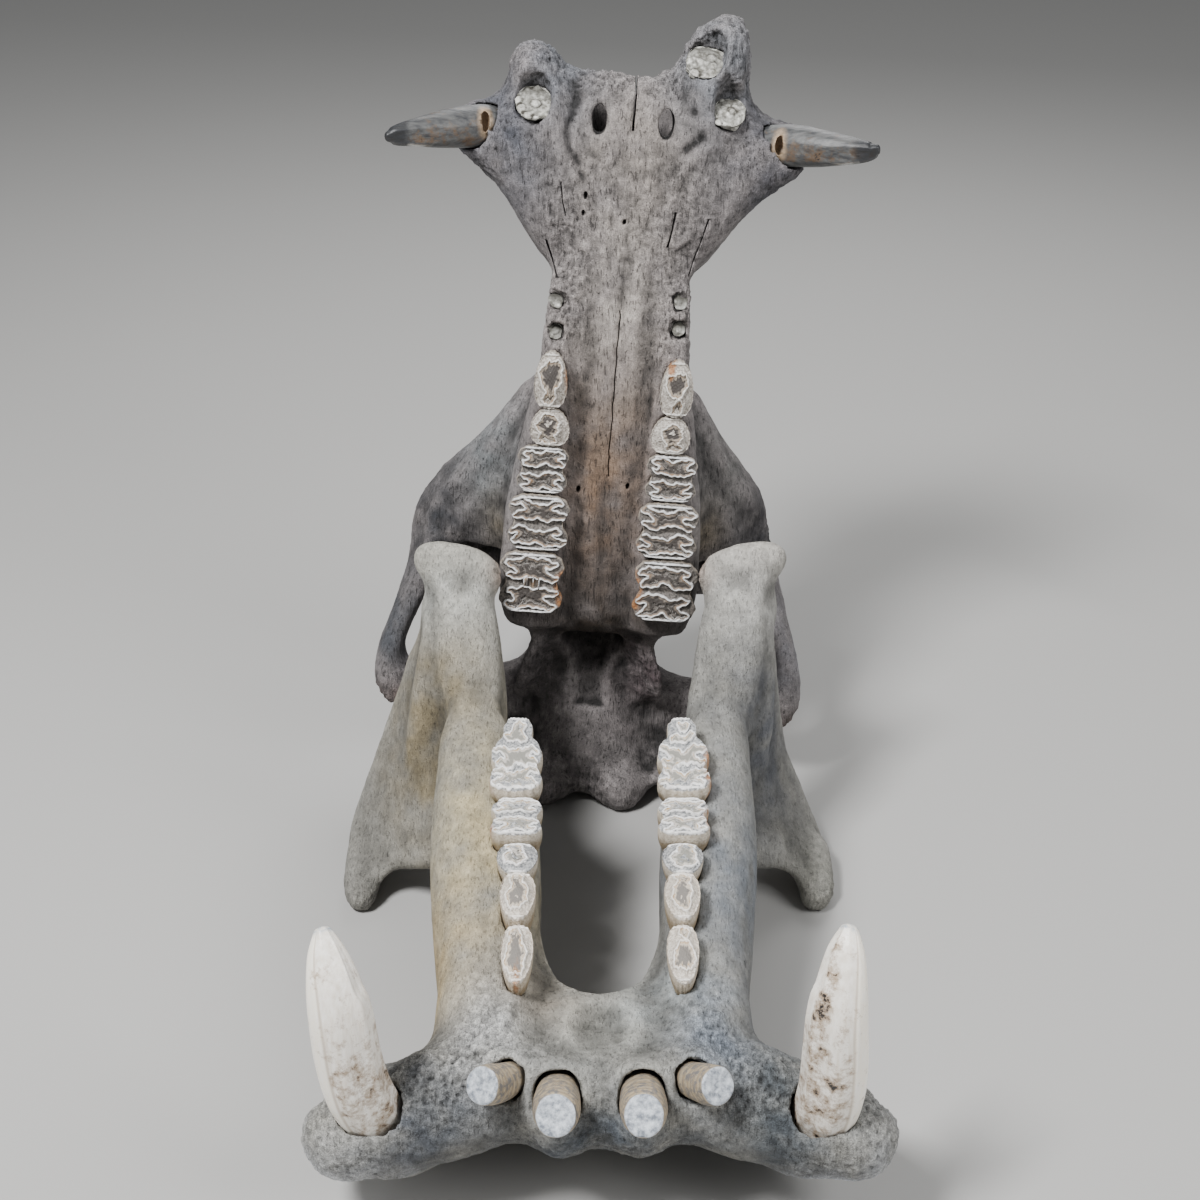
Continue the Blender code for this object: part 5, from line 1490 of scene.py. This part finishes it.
def clouded(tree, where, size, detail=4.0, roughness=0.6):
    """Noise whose largest clouds are that many millimetres."""
    sockets = [("Vector", where), ("Scale", per_mm(size)), ("Detail", detail), ("Roughness", roughness)]
    return add_node(tree, "ShaderNodeTexNoise", sockets).outputs[0]


def bumped(tree, shader, height, distance, strength):
    sockets = [("Height", height), ("Distance", distance), ("Strength", strength)]
    tree.links.new(add_node(tree, "ShaderNodeBump", sockets).outputs[0], shader.inputs["Normal"])


def per_mm(size):
    """The noise scale whose features are that many millimetres, in a scene in metres."""
    return 1000.0 / size


def new_material(name, roughness, ior=1.5):
    made = bpy.data.materials.new(name)
    made.use_nodes = True
    tree = made.node_tree
    shader = tree.nodes["Principled BSDF"]
    shader.inputs["Roughness"].default_value = roughness
    shader.inputs["IOR"].default_value = ior
    return made, tree, shader


# %% [markdown]
# ## Weathered bone
#
# Old bone that lay outdoors is matt. Its tone drifts from grey to tan over centimetres and is
# speckled at every smaller size. Fine dark lines run along the grain of the bone, and small pores
# open where it is coarse. Painted shade darkens every hollow, and painted light brightens the
# edges. The material takes the region's tone, the coarseness and the hollows from the points. It
# adds patches of 15 mm, mottling of 5 mm, streaks 2 mm wide, speckles of 1 mm and pores of two
# sizes, up to 3 mm wide.

# %% Bone materials
def pores(tree, where, size, room):
    """1 in small round pores. They are wider, and more, where room is larger."""
    cells = add_node(tree, "ShaderNodeTexVoronoi", [("Vector", where), ("Scale", per_mm(size))])
    inside = mathed(tree, "SUBTRACT", room, cells.outputs["Distance"])
    return ranged(tree, inside, 0.0, 0.07)


def bone_material(name, grain_stretch, pore_share, contrast, grain, exposed, line_tone):
    made, tree, shader = new_material(name, 0.8, 1.45)
    where = object_places(tree)
    tone = add_node(tree, "ShaderNodeAttribute", attribute_name="tone").outputs["Color"]
    hollow, coarse = kept_values(tree, "hollow", "porous")
    along = stretched(tree, where, grain_stretch)

    patches = clouded(tree, where, 15, 6.0, 0.65)
    mottling = clouded(tree, where, 5, 4.0, 0.65)
    streaks = clouded(tree, along, 2.2, 4.0, 0.6)
    speckles = clouded(tree, where, 1.0, 2.0, 0.7)
    lines = clouded(tree, along, 1.5, 2.0, 0.5)
    line = ranged(tree, lines, 0.60, 0.68)

    spread = clouded(tree, where, 9, 3.0)
    room = mathed(tree, "MULTIPLY_ADD", coarse, 0.35, spread)
    fine_pore = pores(tree, where, 1.7, ranged(tree, room, 0.86 - pore_share, 1.3 - pore_share, 0.0, 0.42))
    wide_pore = pores(tree, where, 3.6, ranged(tree, room, 0.98 - pore_share, 1.4 - pore_share, 0.0, 0.38))
    pore = mathed(tree, "MAXIMUM", fine_pore, wide_pore)

    total = ranged(tree, patches, 0.3, 0.7, exposed - contrast, exposed + contrast)
    coarse_grain = ranged(tree, coarse, 0.05, 0.6, grain, 0.48)
    speckled = mathed(tree, "MULTIPLY", ranged(tree, speckles, 0.3, 0.7, -1.0, 1.0), coarse_grain)
    streaked = mathed(tree, "MULTIPLY", ranged(tree, streaks, 0.3, 0.7, -0.8, 0.8), coarse_grain)
    for shade in (
        ranged(tree, mottling, 0.3, 0.7, 0.80, 1.20),
        mathed(tree, "ADD", speckled, 1.0),
        mathed(tree, "ADD", streaked, 1.0),
        # painted shade in the hollows, painted light on the edges
        ranged(tree, hollow, -0.05, 0.12, 1.40, 0.16),
        ranged(tree, line, 0.0, 1.0, 1.0, line_tone),
        ranged(tree, pore, 0.0, 1.0, 1.0, 0.22),
    ):
        total = mathed(tree, "MULTIPLY", total, shade)
    colour = add_node(tree, "ShaderNodeVectorMath", [(0, tone), ("Scale", total)], operation="SCALE")
    tree.links.new(colour.outputs[0], shader.inputs["Base Color"])
    tree.links.new(ranged(tree, streaks, 0.3, 0.7, 0.68, 0.92), shader.inputs["Roughness"])

    height = mathed(tree, "MULTIPLY", speckles, 0.5)
    height = mathed(tree, "MULTIPLY_ADD", streaks, 0.8, height)
    height = mathed(tree, "MULTIPLY_ADD", pore, -1.1, height)
    height = mathed(tree, "MULTIPLY_ADD", line, -0.4, height)
    bumped(tree, shader, height, 0.0018, 1.0)
    return made


# The tones are as bright as in the photograph, so each bone has an exposure below 1 to go under the
# brighter lamps.
skull_bone = bone_material("weathered_bone_skull", (1.0, 1.0, 0.14), 0.14, 0.18, 0.26, 0.56, 0.5)
jaw_bone = bone_material("weathered_bone_jaw", (1.0, 0.4, 0.3), -0.06, 0.13, 0.14, 0.63, 0.82)

# %% [markdown]
# ## Enamel and dentine
#
# Enamel is nearly pure mineral: bluish white, hard and glossy. The dentine inside a loop is
# orange close to the enamel and grey-brown in the middle, and the valleys between the cusps hold
# dark cement. The distance from the enamel line that every point keeps decides which is which,
# with a little noise, so the borders are crisp but not even.

# %% Cheek tooth material
def cheek_tooth_material(name, enamel, edge, dentine, valley, wall, gum, core):
    made, tree, shader = new_material(name, 0.4, 1.6)
    where = object_places(tree)
    away, depth, stain = kept_values(tree, *MARKS)
    fine = clouded(tree, where, 1.6, 3.0, 0.65)
    grain = ranged(tree, fine, 0.3, 0.7)
    blotch = clouded(tree, where, 5, 3.0)
    shifted = mathed(tree, "ADD", away, ranged(tree, fine, 0.2, 0.8, -0.35, 0.35))
    size = mathed(tree, "ABSOLUTE", shifted)
    wide = clouded(tree, where, 3.5, 2.0)
    band = mathed(tree, "SUBTRACT", size, ranged(tree, wide, 0.35, 0.65, -0.25, 0.25))
    on_enamel = ranged(tree, band, 0.72, 1.05, 1.0, 0.0)
    inside = ranged(tree, shifted, -0.2, 0.2)

    by_the_edge = ranged(tree, size, 0.8, 1.9, 1.0, 0.0)
    edge_much = mathed(tree, "MULTIPLY", by_the_edge, ranged(tree, blotch, 0.38, 0.6))
    soft = mixed(tree, edge_much, mixed(tree, grain, *dentine), edge)
    soft = mixed(tree, ranged(tree, shifted, 2.0, 3.6), soft, core)
    low = mixed(tree, ranged(tree, fine, 0.35, 0.65), *valley)
    ground = mixed(tree, inside, low, soft)
    top = mixed(tree, on_enamel, ground, mixed(tree, blotch, *enamel))
    side_tone = mixed(tree, grain, *wall)
    body = mixed(tree, ranged(tree, depth, 0.8, 2.2), top, side_tone)
    near_gum = mixed(tree, ranged(tree, depth, 7.0, 14.0, 0.0, 0.75), body, gum)
    orange_much = mathed(tree, "MULTIPLY", stain, ranged(tree, blotch, 0.25, 0.6, 0.3, 1.0))
    bare = ranged(tree, orange_much, 0.25, 0.6, 0.0, 0.85)
    bare = mathed(tree, "MULTIPLY", bare, ranged(tree, on_enamel, 0.0, 1.0, 1.0, 0.35))
    final = mixed(tree, bare, near_gum, mixed(tree, grain, "74401F", "B07A40"))
    tree.links.new(final, shader.inputs["Base Color"])
    tree.links.new(ranged(tree, on_enamel, 0.0, 1.0, 0.70, 0.28), shader.inputs["Roughness"])
    bumped(tree, shader, mathed(tree, "MULTIPLY_ADD", on_enamel, 0.5, fine), 0.001, 0.8)
    return made


upper_enamel = cheek_tooth_material(
    "molar_enamel_upper", ("EDEFF1", "B5B1AD"), "9A6E40", ("5A5149", "94897D"), ("2A2825", "77706A"),
    ("74695D", "AFA79C"), "4A3B2E", "3A3430",
)
upper_premolar_enamel = cheek_tooth_material(
    "premolar_enamel_upper", ("E6E4DF", "AAA196"), "8C6A48", ("776C60", "B0A596"), ("7A7168", "C9C3BA"),
    ("857A6C", "C3BBAF"), "5A4533", "3B3531",
)
lower_enamel = cheek_tooth_material(
    "molar_enamel_lower", ("FFFFFF", "DEDBD6"), "C49E60", ("A7A098", "DAD5CD"), ("5E6165", "C2C2C1"),
    ("B0A28D", "E2DACC"), "84704F", "8A8880",
)
lower_premolar_enamel = cheek_tooth_material(
    "premolar_enamel_lower", ("FBF8F2", "DAD0C2"), "B9905C", ("A89A88", "E0D6C6"), ("A89C8E", "E4DDD1"),
    ("A8967E", "DDD2C0"), "84704F", "77726C",
)

# %% [markdown]
# ## Ivory
#
# Tusk ivory is dentine too, but dense and polished by use: warm white with fine lines along the
# shaft. The enamel strip is creamier. The worn face is stained brown, with black pits where it has
# decayed, and the tips are slate grey. The upper canines are darker all over.

# %% Ivory material
def ivory_material(name, ivory, strip_tone, stain_tone, tip_tone, tip_from, stain_much, stretch, roughness):
    made, tree, shader = new_material(name, roughness, 1.54)
    where = object_places(tree)
    strip, facet, tip, decay = kept_values(tree, *FRONT_MARKS, "decay")
    lines = clouded(tree, stretched(tree, where, stretch), 3.0)
    clouds = clouded(tree, where, 9, 6.0, 0.75)
    shade = mixed(tree, ranged(tree, lines, 0.3, 0.7), *ivory)
    with_strip = mixed(tree, strip, shade, mixed(tree, ranged(tree, lines, 0.4, 0.75), strip_tone, ivory[0]))
    room = mathed(tree, "MULTIPLY_ADD", facet, stain_much, clouds)
    stained = mixed(tree, ranged(tree, room, 0.56, 0.72, 0.0, 0.85), with_strip, stain_tone)
    rot = ranged(tree, room, 0.735, 0.78)
    rotten = mixed(tree, rot, stained, "262220")
    # A thin line of the stain tone along each edge of the enamel strip is painted shade of the groove there.
    rim = ranged(tree, mathed(tree, "ABSOLUTE", mathed(tree, "SUBTRACT", strip, 0.5)), 0.1, 0.4, 0.45, 0.0)
    with_painted_groove_shade = mixed(tree, rim, rotten, stain_tone)
    crumbly = mixed(tree, ranged(tree, clouds, 0.4, 0.6), "6B5A45", "A8927A")
    broken = mixed(tree, ranged(tree, decay, 0.35, 0.9), with_painted_groove_shade, crumbly)
    wavy_tip = mathed(tree, "MULTIPLY_ADD", clouds, 0.14, tip)
    tip_share = ranged(tree, wavy_tip, tip_from, tip_from + 0.05, 0.0, 0.9)
    final = mixed(tree, tip_share, broken, mixed(tree, ranged(tree, lines, 0.35, 0.65), tip_tone, ivory[1]))
    tree.links.new(final, shader.inputs["Base Color"])
    bumped(tree, shader, mathed(tree, "MULTIPLY_ADD", rot, -1.2, lines), 0.0008, 0.6)
    return made


tusk_ivory = ivory_material(
    "tusk_ivory", ("FFFBF3", "E6DDCF"), "FFF8E8", "93795C", "8FA0AE", 0.77, 0.17, (1.0, 1.0, 0.16), 0.36
)
canine_ivory = ivory_material(
    "stained_canine_ivory", ("5D5D5C", "232529"), "D2D2CE", "5C4732", "0A0B0E", 0.52, 0.10,
    (0.16, 1.0, 1.0), 0.5,
)

# %% [markdown]
# The incisors are ivory as well, but weathered: the worn ends are a cool, mottled grey, and the
# sides have tan rings of growth. The root remains are chalky and matt, with painted shadow on the
# upper side, where they sink, and painted shade in their hollows.

# %% Incisor and root materials
def incisor_material():
    made, tree, shader = new_material("weathered_incisor_ivory", 0.5, 1.54)
    end, tip = kept_values(tree, "facet", "tip")
    clouds = clouded(tree, object_places(tree), 4, 5.0, 0.65)
    wavy_tip = mathed(tree, "MULTIPLY_ADD", tip, 70.0, mathed(tree, "MULTIPLY", clouds, 9.0))
    rings = ranged(tree, mathed(tree, "SINE", wavy_tip), -1.0, 1.0)
    side_tone = mixed(tree, rings, "94846D", "AE9F86")
    side_tone = mixed(tree, ranged(tree, clouds, 0.46, 0.6), side_tone, "6F6C6A")
    end_tone = mixed(tree, ranged(tree, clouds, 0.35, 0.65), "6E747D", "CDD3DA")
    tree.links.new(mixed(tree, end, side_tone, end_tone), shader.inputs["Base Color"])
    bumped(tree, shader, mathed(tree, "MULTIPLY_ADD", rings, 0.12, clouds), 0.001, 0.8)
    return made


def chalky_root_material():
    made, tree, shader = new_material("chalky_root", 0.85, 1.45)
    hollow, sunk = kept_values(tree, "hollow", "sunk")
    clouds = clouded(tree, object_places(tree), 5, 5.0, 0.7)
    chalk = mixed(tree, ranged(tree, clouds, 0.38, 0.62), "77756D", "DAD9D2")
    # Painted shadow on the sunk upper side, then painted shade in the hollows.
    chalk_with_painted_shadow = mixed(tree, ranged(tree, sunk, 0.1, 0.7), chalk, "4E4D48")
    final = mixed(tree, ranged(tree, hollow, -0.02, 0.03), chalk_with_painted_shadow, "3C3933")
    tree.links.new(final, shader.inputs["Base Color"])
    bumped(tree, shader, clouds, 0.0012, 0.9)
    return made


incisor_ivory = incisor_material()
chalky_root = chalky_root_material()

# %% [markdown]
# ## Standing it up
#
# The cranium was drawn upright on its occiput. It leans back by eleven degrees and a little to
# its left, and stands behind the lower jaw. Points that would pass below the floor are laid on it,
# which gives the small flats that the bones rest on, and none is left outside the CAD model's box.

# %% Places in the frame
LEAN_BACK = 11.0  # degrees
LEAN_SIDE = 4.2  # degrees, towards +x at the snout
STANDS_AT = (-1.75, 44.5)  # x and y of the palate plane at the occiput
CONTACT_HEIGHT = 5.0  # above the palate plane, where the occipital condyles meet the floor
SHIFT = (0.1, -33.7, 0.0)  # from the jaw's own place to the middle of the frame
WITHIN = 0.0002  # metres inside the CAD model's box


def standing():
    """Where the upright cranium goes: leaned back and to the side, behind the jaw."""
    back, over = math.radians(LEAN_BACK), math.radians(LEAN_SIDE)
    up = Vector((math.sin(over), math.sin(back) * math.cos(over), math.cos(back) * math.cos(over)))
    roof = Vector((0, math.cos(back), -math.sin(back)))
    turn = Matrix((roof.cross(up), roof, up)).transposed().to_4x4()
    base = Vector((*STANDS_AT, CONTACT_HEIGHT * math.sin(back))) * CM
    return Matrix.Translation(base) @ turn


def kept_in_box(obj):
    """Points below the floor are laid on it, and none passes the CAD model's box."""
    where = points(obj)
    inside = np.clip(where, np.array(cad_low) + WITHIN, np.array(cad_high) - WITHIN)
    inside[:, 2] = np.clip(where[:, 2], cad_low.z, cad_high.z - WITHIN)
    moved = np.abs(where - inside).max(0) * 1000
    put_points(obj, inside)
    print(obj.name, "moved at most, in mm:", moved.round(1))


shift = Matrix.Translation(Vector(SHIFT) * CM)
upright = shift @ standing()
pieces["cranium"], pieces["mandible"] = cranium, jaw
for node, piece in pieces.items():
    of_cranium = node == "cranium" or "upper" in node
    piece.data.transform(upright if of_cranium else shift)
    kept_in_box(piece)

# %% [markdown]
# ## The pieces on the rigid body
#
# Every piece rides on the one rigid body, hides its plain CAD node, and takes its material. All
# faces are shaded smooth.

# %% Pieces, nodes and slots
MANY = 30000  # pieces with more triangles are printed
# The first entry that a node's name starts with gives its material and slot.
FINISHES = {
    "cranium": (skull_bone, "bone_cranium"),
    "mandible": (jaw_bone, "bone_mandible"),
    "upper_canine": (canine_ivory, "canine_upper"),
    "lower_canine": (tusk_ivory, "canine_lower"),
    "lower_i": (incisor_ivory, "incisor"),
    "root": (chalky_root, "root_remains"),
    "upper_p": (upper_premolar_enamel, "teeth_upper"),
    "lower_p": (lower_premolar_enamel, "teeth_lower"),
    "upper": (upper_enamel, "teeth_upper"),
    "lower": (lower_enamel, "teeth_lower"),
}
triangles = 0
for node, piece in pieces.items():
    material, slot = next(finish for start, finish in FINISHES.items() if node.startswith(start))
    piece.data.materials.clear()
    piece.data.materials.append(material)
    piece.data.shade_smooth()
    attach(piece, "root")
    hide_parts(node)
    piece.data.calc_loop_triangles()
    count = len(piece.data.loop_triangles)
    triangles += count
    if count > MANY:
        print(node, count, "triangles")
print(len(pieces), "pieces,", triangles, "triangles")

# %% [markdown]
# ## Floor, light and camera
#
# The photograph looks down at the skull at thirty degrees, from a little over a metre, with a
# lens that was worked out from it. The floor is plain and grey, and large soft lights in front,
# at one side and behind keep the relief readable without hard shadows.

# %% Floor
FLOOR_REACH = 9.0  # metres each way
bm = bmesh.new()
bmesh.ops.create_grid(bm, x_segments=1, y_segments=1, size=FLOOR_REACH)
floor_mesh = bpy.data.meshes.new("floor")
bm.to_mesh(floor_mesh)
bm.free()
floor = in_scene("floor", floor_mesh)
paper, _, paper_shader = new_material("matt_paper", 0.9)
paper_shader.inputs["Base Color"].default_value = (*linear("A8A7A5"), 1)
floor.data.materials.append(paper)
floor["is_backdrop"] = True

# %% Lights and camera
middle = Vector((0.0, -0.044, 0.322))  # what the lamps and the camera look at, in metres


def facing(place, target):
    """A lamp's or camera's matrix at a place, turned to the target."""
    return Matrix.Translation(place) @ (target - place).to_track_quat("-Z", "Y").to_matrix().to_4x4()


LAMPS = (
    ("key", (-0.9, -0.9, 2.1), 96.0, 0.5),
    ("fill", (1.4, -0.9, 1.4), 26.0, 1.0),
    ("back", (0.3, 1.5, 1.6), 20.0, 1.0),
)
for name, place, energy, size in LAMPS:
    light = bpy.data.lights.new(name, "AREA")
    light.energy, light.size = energy, size
    in_scene(name, light).matrix_world = facing(Vector(place), middle)

world = bpy.data.worlds.new("studio")
bpy.context.scene.world = world
world.use_nodes = True
background = world.node_tree.nodes["Background"].inputs
background["Color"].default_value = (*linear("E6E8EA"), 1)
background["Strength"].default_value = 0.3

ELEVATION, DISTANCE = math.radians(30.5), 1.207
AIM = middle + Vector((0.001, 0, 0))
camera = bpy.data.cameras.new("camera")
camera.sensor_width, camera.lens = 36.0, 54.0
camera.clip_start = 0.05
camera_object = in_scene("camera", camera)
place = AIM + DISTANCE * Vector((0, -math.cos(ELEVATION), math.sin(ELEVATION)))
camera_object.matrix_world = facing(place, AIM)
bpy.context.scene.camera = camera_object

# %% Sizes, and the last line
low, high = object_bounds()
for word, corner, cad_corner in (("low", low, cad_low), ("high", high, cad_high)):
    past = [round(1000 * (a - b), 1) for a, b in zip(corner, cad_corner)]
    print(word, "corner against the CAD box, in mm:", past)
